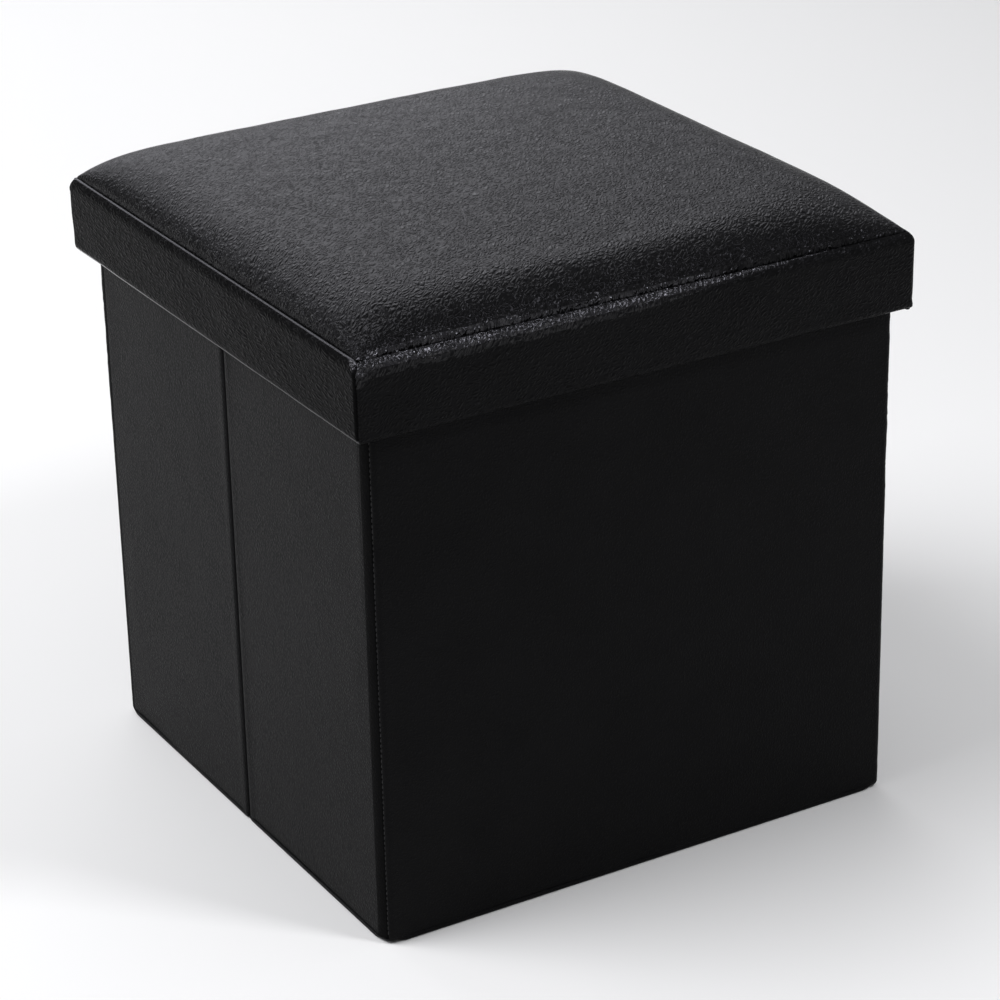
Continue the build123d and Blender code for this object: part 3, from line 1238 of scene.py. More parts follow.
@dataclass
class BodyOutline:
    """Plan of the body's outer face: flat panels and soft, slightly flattened corners.

    A corner starts further back on the side than on the end panel, because the seam allowance
    inside it pushes the side's cloth out, so in plan it is a quarter of an ellipse.
    """

    sizes: FrameSizes
    side_reach: float = 10.4 * MM
    seam_turn: float = math.radians(50.0)
    foot_radius: float = 1.3 * MM
    corner_foot: float = 4.9 * MM
    foot_reach: float = 9.0 * MM
    step: float = 3.2 * MM
    bend_step: float = 0.08

    def fall(self, past: np.ndarray) -> np.ndarray:
        """How far the soft corner lies inside flat sides joined by the hinge's own round.

        On the side it is the ellipse's drop, b (1 - root of (1 - u squared)). Round the corner it is
        the hinge round's radius less the distance from the hinge line to the ellipse.

        Args:
            past: Distance past the start of the hinge round, negative on the side.

        Returns:
            Inward distance in metres.
        """
        a, b = self.side_reach, self.sizes.corner_radius
        c = a - b
        u = np.clip((past + c) / a, 0.0, c / a)
        flat = b * (1.0 - np.sqrt(1.0 - u * u))
        turn = np.clip(past / b, 0.0, QUARTER)
        curve = np.cos(turn) ** 2 / b**2 + np.sin(turn) ** 2 / a**2
        shift = c * np.sin(turn) / a**2
        reach = (-shift + np.sqrt(shift**2 + curve * (1.0 - c * c / a**2))) / curve
        return np.where(past > 0.0, b - reach, flat)

    def foot_at(self, past: np.ndarray) -> np.ndarray:
        """Radius of the rounded foot, small along a panel and large at a corner."""
        more = self.corner_foot - self.foot_radius
        return self.foot_radius + more * smooth(1.0 + past / self.foot_reach)

    def bend(self, start: float, turn: float) -> np.ndarray:
        """Stations round a corner, after its start, evenly spaced over the turn in radians."""
        number = 2 + int(turn / self.bend_step)
        return start + np.linspace(0.0, self.sizes.corner_radius * turn, number)[1:]

    def side(self, half: HalfSide, start: float, turn: float) -> PanelPlan:
        """Stations along half a side, from near its crease to some way round its corner.

        Args:
            half: Which half side.
            start: Distance of the first station from the crease's middle.
            turn: How far round the corner the stations go, in radians.

        Returns:
            The stations.
        """
        s = self.sizes
        flat = s.pivot_y - start
        run = spaced(flat, self.step, 0.4 * MM, 16 * MM)
        if turn:
            run = np.concatenate([run, self.bend(flat, turn)])
        angle = np.clip((run - flat) / s.corner_radius, 0.0, None)
        normal = half.signs * np.stack([np.cos(angle), np.sin(angle)], axis=-1)
        plan = half.signs * np.array([s.pivot_x, s.pivot_y]) + s.corner_radius * normal
        plan[:, 1] -= half.end.value * np.maximum(flat - run, 0.0)
        return PanelPlan(run, plan, normal, run - flat, self.foot_at(run - flat))

    def end(self, end: End, turn: float) -> PanelPlan:
        """Stations along the front or back panel, and round its corners at both ends.

        Args:
            end: Which panel.
            turn: How far round each corner the stations go, in radians.

        Returns:
            The stations, from left to right.
        """
        s = self.sizes
        radius = s.corner_radius
        straight = spaced(2 * s.pivot_x, self.step, 0.5 * MM, 16 * MM) - s.pivot_x
        bend = self.bend(s.pivot_x, turn)
        run = np.concatenate([-bend[::-1], straight, bend])
        angle = np.clip((np.abs(run) - s.pivot_x) / radius, 0.0, None)
        normal = np.stack([np.sign(run) * np.sin(angle), end.value * np.cos(angle)], axis=-1)
        middle = np.clip(run, -s.pivot_x, s.pivot_x)
        plan = np.stack([middle, np.full(len(run), end.value * s.pivot_y)], axis=-1) + radius * normal
        corner_gap = np.maximum(s.pivot_x - np.abs(run), 0.0)
        return PanelPlan(run, plan, normal, radius * (QUARTER - angle), self.foot_at(-corner_gap))


@dataclass
class WallCover:
    """Leather cloth on one panel of the body, turned over the top edge and down inside."""

    sizes: FrameSizes
    outline: BodyOutline
    material: Material
    strip_material: Material
    strip_reach: float = 5.0 * MM
    thickness: float = 0.9 * MM
    top_radius: float = 1.6 * MM
    crease_width: float = 3.4 * MM
    crease_depth: float = 1.9 * MM
    crease_edge: float = 0.3 * MM
    crease_roll: float = 0.3 * MM
    roll_place: float = 4.5 * MM
    roll_width: float = 3.0 * MM
    sewn_width: float = 1.5 * MM
    sewn_depth: float = 0.8 * MM
    groove_depth: float = 0.35 * MM
    groove_width: float = 0.6 * MM
    groove_past: float = -4.7 * MM
    swell_height: float = 0.3 * MM
    fine_swell: float = 0.1 * MM
    stitch_dent: float = 0.14 * MM
    stitch_reach: float = 2.6 * MM
    pucker: float = 0.32 * MM
    low_part: float = 0.15
    low_fade: float = 0.12
    lap_gap: float = 0.1 * MM
    fold_room: float = 0.05 * MM
    calm_gap: float = 6.0 * MM
    calm: float = 15.0 * MM
    step: float = 3.2 * MM

    def profile(self) -> tuple[np.ndarray, np.ndarray]:
        """Inset and height over the wall: up the inner turn-down, over the top and down the face.

        Returns:
            Insets from the outer face and heights in metres, from the inner edge to the foot.
        """
        s, radius = self.sizes, self.top_radius
        turn = np.linspace(0.0, QUARTER, 6)
        shoulder = s.wall_top - radius
        inside = np.linspace(s.lining_top, shoulder, 8)
        face = shoulder - spaced(shoulder - s.hem_top, self.step, 0.8 * MM, 20 * MM)[1:]
        sections = [
            (np.full(len(inside), s.wall_thickness), inside),
            (
                s.wall_thickness - radius * (1 - np.cos(turn[1:])),
                s.wall_top - radius * (1 - np.sin(turn[1:])),
            ),
            (radius * (1 - np.sin(turn)), s.wall_top - radius * (1 - np.cos(turn))),
            (np.zeros(len(face)), face),
        ]
        return joined(sections)

    def dip(self, gap: np.ndarray, width: float, depth: float) -> np.ndarray:
        """How far a rounded edge falls away: a quarter of an ellipse, width by depth, at the edge."""
        t = np.clip(1.0 - gap / width, 0.0, 1.0)
        return depth * (1.0 - np.sqrt(np.maximum(1.0 - t * t, 0.0)))

    def swell(self, along: np.ndarray, height: np.ndarray, seed: int) -> np.ndarray:
        """Slight unevenness of cloth drawn over board, in two sizes."""
        broad = self.swell_height * lattice_noise(along, height, 85 * MM, seed)
        return broad + self.fine_swell * lattice_noise(along, height, 22 * MM, seed + 1)

    def upper(self, height: np.ndarray, low: float) -> np.ndarray:
        """Share of the relief at a height, from low in the lower part to 1 in the upper quarter."""
        return low + (1.0 - low) * smooth((height - self.low_part) / self.low_fade)

    def sewn_gathers(self, height: np.ndarray, gap: np.ndarray, seed: int) -> np.ndarray:
        """Dents of the stitches and puckers beside a sewn line, deeper in its upper part.

        Args:
            height: Height of each point.
            gap: Distance from the sewn line.
            seed: Seed of the pattern.

        Returns:
            Outward relief in metres.
        """
        upper = self.upper(height, 0.25)
        stitch = np.cos(height / STITCH_PITCH * 2 * math.pi)
        dents = self.stitch_dent * upper * stitch * bell(gap, 0.0, self.stitch_reach)
        return dents + puckers(height, np.maximum(gap, 0.0), self.pucker * upper, seed)

    def surface(self, panel: PanelPlan, out: np.ndarray) -> tuple[np.ndarray, np.ndarray]:
        """Carry the profile along a panel's plan.

        The soft corner's fall and the rounded foot take their share on the outer face.

        Args:
            panel: The stations.
            out: Outward relief for each station and profile point.

        Returns:
            Grid of points, and their outward directions on the outer face.
        """
        insets, heights = self.profile()
        share = (1.0 - insets / self.sizes.wall_thickness)[None, :]
        out = out - self.outline.fall(panel.past)[:, None] - panel.foot_inset(heights)
        xy = panel.inwards(insets[None, :] - out * share)
        z = np.broadcast_to(heights[None, :, None], (*xy.shape[:2], 1))
        outward = np.zeros((*xy.shape[:2], 3))
        outward[..., :2] = panel.normal[:, None, :] * (share[..., None] > 0.9)
        return np.concatenate([xy, z], axis=-1), outward

    def add_cover(
        self, name: str, points: np.ndarray, outward: np.ndarray, past: np.ndarray | None = None
    ) -> Object:
        """Put a grid of the cover in as a sheet of the cloth's thickness.

        Args:
            name: The piece's name.
            points: Grid of points, station by station.
            outward: Outward direction of each point.
            past: Distance of each station past the corner's start, if the corner strip is on it.

        Returns:
            The cover.
        """
        cover = add_mesh(name, points, facing(points, outward), self.material)
        if past is not None:
            strip = np.repeat(past[:-1] > -self.strip_reach, points.shape[1] - 1)
            add_finishes(cover, (self.strip_material,), strip)
        thicken(cover, self.thickness)
        return cover

    def build_end(self, end: End) -> Object:
        """Make the cover of the front or back panel, from one corner's sewn line to the other's.

        Args:
            end: Which end.

        Returns:
            The cover.
        """
        panel = self.outline.end(end, QUARTER - self.outline.seam_turn)
        a, h = np.meshgrid(panel.run, self.profile()[1], indexing="ij")
        gap = panel.run[-1] - np.abs(a)
        seed = 300 + 10 * end.value
        out = self.swell(a, h, seed) * smooth((gap - self.calm_gap) / self.calm)
        out += self.sewn_gathers(h, gap, seed + 3) - self.dip(gap, self.sewn_width, self.sewn_depth)
        cover = self.add_cover(f"{end.label}_leather", *self.surface(panel, out))
        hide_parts(f"{end.label}_cover")
        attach(cover, f"{end.label}_wall")
        return cover

    def side_grid(self, half: HalfSide, tuck: float) -> tuple[np.ndarray, np.ndarray, np.ndarray]:
        """Points of half a side, from its crease round the corner to the sewn line.

        Args:
            half: Which half side.
            tuck: How far the surface lies deeper from the start of the corner onwards.

        Returns:
            Grid of points, their outward directions, and how far each row is past the corner's start.
        """
        s = self.sizes
        panel = self.outline.side(half, self.crease_edge, self.outline.seam_turn)
        heights = self.profile()[1]
        a, h = np.meshgrid(panel.run, heights, indexing="ij")
        past = np.broadcast_to(panel.past[:, None], a.shape)
        seed = 500 + 40 * half.side.value + 7 * half.end.value
        sewn_gap = panel.run[-1] - a
        calm = smooth(a / self.calm) * smooth((-past - self.calm_gap) / self.calm)
        out = self.swell(a, h, seed) * calm
        out += self.crease_roll * bell(a, self.roll_place, self.roll_width)
        out = np.minimum(out - self.crease_roll, -self.fold_room)
        out -= self.dip(a, self.crease_width, self.crease_depth)
        out -= self.dip(sewn_gap, self.sewn_width, self.sewn_depth)
        out += self.sewn_gathers(h, sewn_gap, seed + 3) * smooth(1.6 - sewn_gap / (7 * MM))
        groove = bell(past, self.groove_past, self.groove_width)
        out -= self.groove_depth * self.upper(h, 0.2) * groove
        sunk = (tuck * (panel.past > 0.01 * MM))[:, None]
        points, outward = self.surface(panel, out - sunk)
        rise = smooth((heights - s.lining_top) / (s.wall_top - s.lining_top))
        points[..., 2] -= sunk * rise[None, :]
        return points, outward, panel.past

    def build_side(self, half: HalfSide) -> Object:
        """Make the cover of half a side, which bends round the corner; it is baked in place and hung
        on no wall.

        Args:
            half: Which half side.

        Returns:
            The cover.
        """
        cover = self.add_cover(f"{half.name}_leather", *self.side_grid(half, 0.0))
        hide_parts(f"{half.name}_cover", f"{half.corner}_corner_strip")
        f"{half.end.label}_wall"
        f"{half.name}_wall"
        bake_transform(cover)
        return cover

    def build_lapped_side(self, half: HalfSide) -> list[Object]:
        """Make the half side whose corner laps: a wrap on the end panel over a tongue on the side.

        The tongue is the side's own cover carried on round the corner under the wrap, so that the
        corner stays closed over the first half of the fold.

        Args:
            half: Which half side.

        Returns:
            The side's cover and the corner's wrap.
        """
        grid = self.side_grid(half, self.thickness + self.lap_gap)
        cover = self.add_cover(f"{half.name}_leather", *grid)
        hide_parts(f"{half.name}_cover")
        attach(cover, f"{half.name}_wall")
        points, outward, past = self.side_grid(half, 0.0)
        outer = past >= -0.01 * MM
        wrapped = (points[outer], outward[outer], past[outer])
        wrap = self.add_cover(f"{half.corner}_corner_leather", *wrapped)
        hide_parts(f"{half.corner}_corner_strip")
        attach(wrap, f"{half.end.label}_wall")
        return [cover, wrap]


@dataclass
class CreaseWeb:
    """The strip of leather cloth at the bottom of a side's centre crease."""

    sizes: FrameSizes
    material: Material
    depth: float = 1.7 * MM
    sag: float = 0.5 * MM
    thickness: float = 0.5 * MM

    def build(self, side: Side) -> Object:
        """Make the web: a shallow arc between the two halves, baked in place and hung on neither half.

        Args:
            side: Left or right side.

        Returns:
            The web.
        """
        s, x = self.sizes, side.value
        across = np.linspace(-s.crease_gap, s.crease_gap, 13)
        up = np.linspace(s.hem_top + 1 * MM, s.wall_top - 2 * MM, 60)
        y, z = np.meshgrid(across, up)
        sunk = self.depth + self.sag * (1.0 - (y / s.crease_gap) ** 2)
        points = np.stack([x * (s.body_x - sunk), y, z], axis=-1)
        faces = facing(points, np.array([x, 0.0, 0.0]))
        web = add_mesh(f"{side.label}_crease_leather", points, faces, self.material)
        thicken(web, self.thickness)
        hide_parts(f"{side.label}_crease_strip")
        f"{side.label}_rear_wall"
        f"{side.label}_front_wall"
        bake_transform(web)
        return web


@dataclass
class Hem:
    """The soft turned edge under one panel: a flat bar with a rounded foot.

    The end panels' hems go on round the corners, where the foot is rounder. A side's hem ends at its
    crease in a rounded tip.
    """

    sizes: FrameSizes
    outline: BodyOutline
    material: Material
    inner_radius: float = 0.9 * MM
    tip_radius: float = 3.0 * MM
    corner_turn: float = math.radians(87.0)
    flat_share: float = 0.06

    def build_end(self, end: End, squashes: bool) -> Object:
        """Make the hem of the front or back panel, which may be pressed flat as the body folds."""
        panel = self.outline.end(end, self.corner_turn)
        return self.build(end.label, panel, np.zeros(len(panel.run)), squashes)

    def build_side(self, half: HalfSide) -> Object:
        """Make the hem of half a side.

        Args:
            half: Which half side.

        Returns:
            The hem.
        """
        panel = self.outline.side(half, self.sizes.crease_gap, 0.0)
        t = np.clip(1.0 - panel.run / self.tip_radius, 0.0, 1.0)
        tip = self.tip_radius * (1.0 - np.sqrt(1.0 - 0.98 * t * t))
        return self.build(half.name, panel, tip, True)

    def build(self, wall: str, panel: PanelPlan, tip: np.ndarray, squashes: bool) -> Object:
        """Carry the hem's section along a panel and close its ends.

        Args:
            wall: The panel's name.
            panel: Stations along it.
            tip: How far the foot is off the floor at each station.
            squashes: Whether the hem is pressed flat when the body folds.

        Returns:
            The hem.
        """
        s, r = self.sizes, self.inner_radius
        height = np.linspace(1.0, 0.0, 9) ** 1.6 * s.hem_top
        outer = self.outline.fall(panel.past)[:, None] + panel.foot_inset(height)
        turn = np.linspace(0.0, QUARTER, 5)
        inner = np.append(s.wall_thickness - r * (1.0 - np.sin(turn)), s.wall_thickness)
        climb = np.append(r * (1.0 - np.cos(turn)), s.hem_top)
        back = np.concatenate([outer, np.broadcast_to(inner, (len(outer), len(inner)))], axis=1)
        share = np.concatenate([height, climb]) / s.hem_top
        z = tip[:, None] + share[None, :] * (s.hem_top - tip)[:, None]
        xy = panel.inwards(np.minimum(back, s.wall_thickness))
        points = np.concatenate([xy, z[..., None]], axis=-1)
        rows, columns = z.shape
        middle = rows // 2
        step = points[middle + 1, 0] - points[middle, 0]
        drop = points[middle, 1] - points[middle, 0]
        order = 1 if np.dot(np.cross(drop, step)[:2], panel.normal[middle]) >= 0 else -1
        first = np.arange(columns)
        faces = quads(rows, columns, closed=True)[:, ::order].tolist()
        faces += [first[::-order].tolist(), ((rows - 1) * columns + first)[::order].tolist()]
        hem = add_mesh(f"{wall}_hem_leather", points, faces, self.material)
        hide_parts(f"{wall}_hem")
        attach(hem, f"{wall}_wall")
        if squashes:
            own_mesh(hem)
        return hem


@dataclass
class SewnLine:
    """The row of thread along a corner's sewn line, sunk between the two covers."""

    sizes: FrameSizes
    outline: BodyOutline
    material: Material
    length: float = 2.5 * MM
    radius: float = 0.36 * MM
    sink: float = 0.55 * MM
    end_gap: float = 4.0 * MM
    facets: int = 6

    def build(self, half: HalfSide) -> Object:
        """Make the stitches as small tapered rods, all in one piece.

        Args:
            half: The half side whose corner has the line.

        Returns:
            The row of stitches.
        """
        s = self.sizes
        middle = np.arange(s.hem_top + self.end_gap, s.wall_top - self.end_gap, STITCH_PITCH)
        around = np.arange(self.facets) * math.tau / self.facets
        level = np.array([-0.5, -0.42, 0.0, 0.42, 0.5])[None, :, None]
        girth = np.array([0.25, 0.8, 1.0, 0.8, 0.25])[None, :, None] * self.radius
        shape = (len(middle), level.size, self.facets)
        turn = self.outline.seam_turn
        out = half.signs * np.array([math.cos(turn), math.sin(turn)])
        fall = self.outline.fall(np.array([s.corner_radius * turn]))[0]
        reach = s.corner_radius - fall - self.sink * (1.0 + 0.5 * (2 * level) ** 2)
        reach = reach + girth * np.sin(around)
        slide = girth * np.cos(around)
        x = half.side.value * s.pivot_x + out[0] * reach - out[1] * slide
        y = half.end.value * s.pivot_y + out[1] * reach + out[0] * slide
        z = middle[:, None, None] + self.length * level
        points = np.stack([np.broadcast_to(v, shape) for v in (x, y, z)], axis=-1)
        starts = np.arange(len(middle)) * level.size * self.facets
        tube = quads(level.size, self.facets, closed=True)
        faces = (tube[None] + starts[:, None, None]).reshape(-1, 4).tolist()
        ring = np.arange(self.facets)
        for cap in (ring[::-1], (level.size - 1) * self.facets + ring):
            faces += (cap[None] + starts[:, None]).tolist()
        row = add_mesh(f"{half.corner}_stitches", points, faces, self.material)
        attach(row, f"{half.end.label}_wall")
        return row


@dataclass
class WallLining:
    """Cloth on the inner face of one panel, below the cover's turned-down edge."""

    sizes: FrameSizes
    material: Material
    wall: str
    inward: tuple[int, int]
    seed: int
    thickness: float = 0.7 * MM
    lift: float = 0.07 * MM
    ripple: float = 0.06 * MM
    lines: int = 71

    def build(self) -> Object:
        """Make the lining, a little uneven where it is glued down.

        Returns:
            The lining.
        """
        node = f"{self.wall}_lining"
        low, high = (np.array(corner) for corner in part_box(node))
        along_axis = 0 if self.inward[0] == 0 else 1
        if along_axis == 0:
            low[0], high[0] = -self.sizes.pivot_x, self.sizes.pivot_x
        sign = self.inward[1 - along_axis]
        face = (high if sign > 0 else low)[1 - along_axis]
        run = np.linspace(low[along_axis], high[along_axis], self.lines)
        a, z = np.meshgrid(run, np.linspace(low[2], high[2], self.lines), indexing="ij")
        depth = face - sign * (self.lift + self.ripple * lattice_noise(a, z, 40 * MM, self.seed))
        points = np.stack([a, depth, z] if along_axis == 0 else [depth, a, z], axis=-1)
        faces = facing(points, np.array([*self.inward, 0.0]))
        lining = add_mesh(f"{node}_cloth", points, faces, self.material)
        add_cloth_map(lining, np.stack([a, z], axis=-1).reshape(-1, 2))
        thicken(lining, self.thickness)
        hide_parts(node)
        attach(lining, f"{self.wall}_wall")
        return lining


def rounded_outline(half_x: float, half_y: float, radius: float, step: float) -> np.ndarray:
    """Points round a rounded rectangle, anticlockwise from its right side, one row each.

    Args:
        half_x: Half its length along X.
        half_y: Half its length along Y.
        radius: Corner radius.
        step: Greatest spacing on the straight sides.

    Returns:
        Rows of X and Y.
    """
    arcs = []
    for quarter, signs in enumerate(((1, 1), (-1, 1), (-1, -1), (1, -1))):
        angle = np.linspace(0.0, QUARTER, 7) + quarter * QUARTER
        centre = np.array(signs) * np.array([half_x - radius, half_y - radius])
        arcs.append(centre + radius * np.stack([np.cos(angle), np.sin(angle)], axis=-1))
    parts = []
    for quarter, arc in enumerate(arcs):
        length = 2 * ((half_x if quarter % 2 == 0 else half_y) - radius)
        share = np.linspace(0.0, 1.0, max(2, int(length / step)))[1:-1, None]
        following = arcs[(quarter + 1) % len(arcs)]
        parts += [arc, arc[-1] + share * (following[0] - arc[-1])]
    return np.concatenate(parts)


@dataclass
class LidLining:
    """Cloth under the lid: flat over the board, then down the skirt to the bands' turned-up edge."""

    sizes: FrameSizes
    material: Material
    fold_radius: float = 1.5 * MM
    corner_radius: float = 2.0 * MM
    ripple: float = 0.05 * MM
    thickness: float = 0.7 * MM
    step: float = 6.0 * MM

    def build(self) -> Object:
        """Make the lining as rings from its lower edge up, over the fold and in to the middle.

        Returns:
            The lining.
        """
        s, r = self.sizes, self.fold_radius
        low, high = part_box("lid_lining")
        depth = high.x - s.turn_up_x
        half_x, half_y = s.turn_up_x, high.y - depth
        plate = s.lid_board_bottom - depth
        turn = np.linspace(0.0, QUARTER, 6)
        drop = np.linspace(low.z, plate - r, 5)[:-1]
        inward = np.linspace(r + self.step, s.turn_up_x - 2 * self.step, 40)
        sections = [
            (np.zeros(len(drop)), drop),
            (r * (1 - np.cos(turn)), plate - r + r * np.sin(turn)),
            (inward, np.full(len(inward), plate)),
        ]
        insets, heights = joined(sections)
        base = rounded_outline(half_x, half_y, self.corner_radius, self.step)
        shrink = 1.0 - insets[:, None, None] / np.array([half_x, half_y])
        xy = base[None] * shrink
        ripple = self.ripple * lattice_noise(xy[..., 0], xy[..., 1], 45 * MM, 71)
        z = heights[:, None] + ripple * smooth(insets / (20 * MM))[:, None]
        lining = add_rings("lid_lining_cloth", xy, z, False, self.material)
        spread = base[None] * (1.0 + (heights.max() - z)[..., None] / half_x) * shrink
        add_cloth_map(lining, spread.reshape(-1, 2))
        thicken(lining, self.thickness)
        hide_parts("lid_lining")
        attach(lining, "lid")
        return lining


@dataclass
class Base:
    """The loose base board with its cloth facing and ribbon pull tab."""

    finishes: Finishes
    facing_thickness: float = 0.5 * MM
    facing_edge: float = 0.4 * MM
    corner_radius: float = 5.0 * MM
    facing_sink: float = 0.05 * MM
    facing_ripple: float = 0.04 * MM
    ribbon_thickness: float = 0.18 * MM
    wave: float = 0.05 * MM

    def build(self) -> list[Object]:
        """Make the facing and the tab; the board itself is the CAD node.

        Returns:
            The two pieces.
        """
        low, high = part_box("base_lining")
        inward = np.linspace(8 * MM, high.y - 6 * MM, 36)
        sections = [
            ([0.0, 0.1 * MM, self.facing_edge], [low.z, high.z - 0.2 * MM, high.z]),
            (inward, np.full(len(inward), high.z)),
        ]
        insets, heights = joined(sections)
        outline = rounded_outline(high.x, high.y, self.corner_radius, 8 * MM)
        xy = outline[None] * (1.0 - insets[:, None, None] / np.array([high.x, high.y]))
        ripple = self.facing_ripple * lattice_noise(xy[..., 0], xy[..., 1], 50 * MM, 83)
        z = heights[:, None] - self.facing_sink - ripple * (insets[:, None] > self.facing_edge)
        cloth = add_rings("base_lining_cloth", xy, z, True, self.finishes.lining)
        add_cloth_map(cloth, xy.reshape(-1, 2))
        thicken(cloth, self.facing_thickness)
        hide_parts("base_lining")
        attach(cloth, "base")
        return [cloth, self.build_tab()]

    def build_tab(self) -> Object:
        """Make the ribbon: rounded selvedges, a turned end and a slight wave along its length.

        Returns:
            The tab.
        """
        low, high = (np.array(corner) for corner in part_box("base_pull_tab"))
        across, along = np.linspace(low[0], high[0], 21), np.linspace(low[1], high[1], 41)
        x, y = np.meshgrid(across, along, indexing="ij")
        flat = smooth((high[0] - np.abs(x)) / (1.0 * MM)) * smooth((high[1] - y) / (1.5 * MM))
        wave = self.wave * np.sin(y / (9 * MM)) + self.wave * np.sin(x / (5 * MM))
        z = high[2] - 0.1 * MM + wave * flat - 0.12 * MM * (1.0 - flat)
        points = np.stack([x, y, z], axis=-1)
        faces = facing(points, np.array([0.0, 0.0, 1.0]))
        tab = add_mesh("base_pull_ribbon", points, faces, self.finishes.ribbon)
        thicken(tab, self.ribbon_thickness)
        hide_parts("base_pull_tab")
        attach(tab, "base")
        return tab


@dataclass
class Studio:
    """Plain pale floor, soft light and a camera at the photograph's viewing angle.

    The light is a little cool, as the sheen in the photograph is, and the floor's colour makes up
    for it.
    """

    camera_place: tuple[float, float, float] = (-0.98241, -1.7069, 1.06692)
    target: tuple[float, float, float] = (0.0, 0.0, 0.19)
    roll_deg: float = -1.386
    lens_mm: float = 122.05
    sensor_mm: float = 36.0
    shift: tuple[float, float] = (0.0112, -0.0183)
    floor_colour: str = "#f4f4ef"
    floor_reach: float = 12.0
    floor_drop: float = 0.2 * MM
    light_colour: str = "#f8f8ff"
    sky_strength: float = 0.295

    def build(self) -> None:
        """Set the view transform and make the floor, the lights, the world and the camera."""
        bpy.context.scene.view_settings.view_transform = "Standard"
        self.build_floor()
        self.build_world()
        self.build_light("key_softbox", (-1.9, 0.6, 2.9), (0.0, 0.0, 0.3), (2.0, 2.0), 90.3)
        self.build_light("back_softbox", (0.18, 2.42, 1.66), (-0.77, 0.13, 0.35), (2.3, 2.1), 23.9)
        self.build_light("far_softbox", (1.56, 1.85, 1.66), (0.61, -0.44, 0.35), (0.7, 2.1), 3.3)
        self.build_light("front_softbox", (0.45, -0.95, 1.5), (-0.1, -0.15, 0.36), (0.26, 0.26), 9.0)
        self.build_camera()

    def build_floor(self) -> None:
        """Make a wide matt floor."""
        reach = self.floor_reach
        corners = [(-reach, -reach, 0), (reach, -reach, 0), (reach, reach, 0), (-reach, reach, 0)]
        mesh = bpy.data.meshes.new("floor")
        mesh.from_pydata(corners, [], [(0, 1, 2, 3)])
        floor = bpy.data.objects.new("floor", mesh)
        bpy.context.scene.collection.objects.link(floor)
        material, shader, _ = new_material("matt studio floor, pale")
        colour = linear(self.floor_colour)
        plug(shader, {"Base Color": colour, "Roughness": 0.95, "Specular IOR Level": 0.0})
        mesh.materials.append(material)
        floor.location.z = -self.floor_drop

    def build_world(self) -> None:
        """Light everything evenly from all round at a low level."""
        world = bpy.data.worlds.new("studio")
        bpy.context.scene.world = world
        world.use_nodes = True
        world.node_tree.nodes.clear()
        glow = {"Color": linear(self.light_colour), "Strength": self.sky_strength}
        sky = add_node(world.node_tree, "Background", glow)
        add_node(world.node_tree, "OutputWorld", {"Surface": sky})

    def build_light(self, name: str, place: tuple, aim: tuple, size: tuple, power: float) -> None:
        """Make one oblong softbox.

        Args:
            name: The lamp's name.
            place: Where it stands.
            aim: The point that it faces.
            size: Its width and height in metres.
            power: Power in watts.
        """
        lamp = bpy.data.lights.new(name, "AREA")
        lamp.shape = "RECTANGLE"
        lamp.size, lamp.size_y = size
        lamp.energy = power
        lamp.color = linear(self.light_colour)[:3]
        holder = bpy.data.objects.new(name, lamp)
        bpy.context.scene.collection.objects.link(holder)
        holder.location = place
        holder.rotation_mode = "QUATERNION"
        holder.rotation_quaternion = (Vector(aim) - Vector(place)).to_track_quat("-Z", "Y")

    def build_camera(self) -> None:
        """Make the camera and make it the scene's own."""
        lens = bpy.data.cameras.new("camera")
        lens.lens = self.lens_mm
        lens.sensor_width = self.sensor_mm
        lens.shift_x, lens.shift_y = self.shift
        camera = bpy.data.objects.new("camera", lens)
        bpy.context.scene.collection.objects.link(camera)
        look = (Vector(self.target) - Vector(self.camera_place)).to_track_quat("-Z", "Y")
        turn = Matrix.Rotation(math.radians(self.roll_deg), 4, "Z")
        camera.matrix_world = Matrix.Translation(self.camera_place) @ look.to_matrix().to_4x4() @ turn
        bpy.context.scene.camera = camera


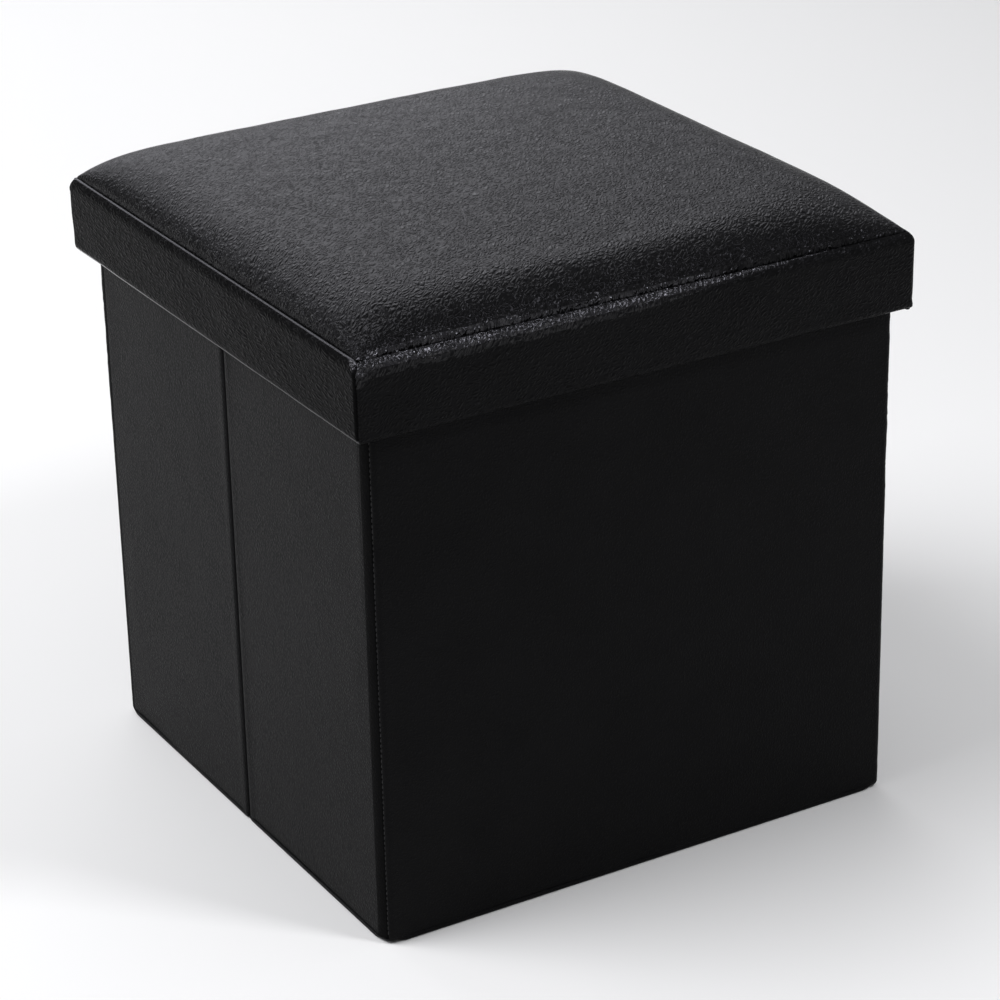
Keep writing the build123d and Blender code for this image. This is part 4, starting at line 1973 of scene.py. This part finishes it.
@dataclass
class Ottoman:
    """The whole ottoman: its lid, body and base, dressed in order."""

    frame: dict
    sizes: FrameSizes
    finishes: Finishes
    open_corner: HalfSide = HalfSide(Side.RIGHT, End.FRONT)

    def dress_boards(self) -> None:
        """Give the stiff boards and strips, which stay as CAD nodes, their hardboard finish."""
        for name, node in self.frame["nodes"].items():
            if name.endswith(("_board", "_skirt")):
                node.data.materials.clear()
                node.data.materials.append(self.finishes.board)

    def build_lid(self) -> list[Object]:
        """Make the cushion, the four bands and the lining.

        Returns:
            The lid's pieces.
        """
        s, f = self.sizes, self.finishes
        pieces = [LidCushion(s, f).build()]
        for end in End:
            front = end is End.FRONT
            band = LidBand(s, f, f.end_band, end.label, 0, end.value, 110 + end.value, front, front)
            band.step = 0.8 * MM if front else band.step
            pieces.append(band.build())
        for side in Side:
            band = LidBand(s, f, f.side_band, side.label, 1, side.value, 140 + side.value)
            band.bunched = side is Side.LEFT
            band.ledge = 0.6 * MM
            pieces.append(band.build())
        pieces.append(LidLining(s, f.lining).build())
        return pieces

    def build_body(self) -> list[Object]:
        """Make the covers, creases, hems, stitching and linings of the walls.

        Returns:
            The body's pieces.
        """
        s, f = self.sizes, self.finishes
        outline = BodyOutline(s)
        cover = WallCover(s, outline, f.wall, f.strip)
        hem = Hem(s, outline, f.wall)
        stitches = SewnLine(s, outline, f.thread)
        pieces = []
        for end in End:
            pieces.append(cover.build_end(end))
            pieces.append(hem.build_end(end, squashes=end is End.FRONT))
            lining = WallLining(s, f.lining, end.label, (0, -end.value), 200 + end.value)
            pieces.append(lining.build())
        for side in Side:
            pieces.append(CreaseWeb(s, f.wall).build(side))
            for half in (HalfSide(side, end) for end in End):
                if half == self.open_corner:
                    pieces += cover.build_lapped_side(half)
                else:
                    pieces.append(cover.build_side(half))
                pieces.append(hem.build_side(half))
                pieces.append(stitches.build(half))
                seed = 220 + 5 * side.value + half.end.value
                pieces.append(WallLining(s, f.lining, half.name, (-side.value, 0), seed).build())
        return pieces

    def build(self) -> None:
        """Dress every sub-assembly and report each piece."""
        self.dress_boards()
        for piece in (*self.build_lid(), *self.build_body(), *Base(self.finishes).build()):
            mesh = piece.data
            LOG.info("%s: %d points, %d faces", piece.name, len(mesh.vertices), len(mesh.polygons))


def main() -> None:
    """Load the frame, dress the ottoman and light it."""
    logging.basicConfig(level=logging.INFO, format="%(name)s: %(message)s")
    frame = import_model()
    Ottoman(frame, FrameSizes.read(), Finishes()).build()
    Studio().build()


if __name__ == "__main__":
    main()
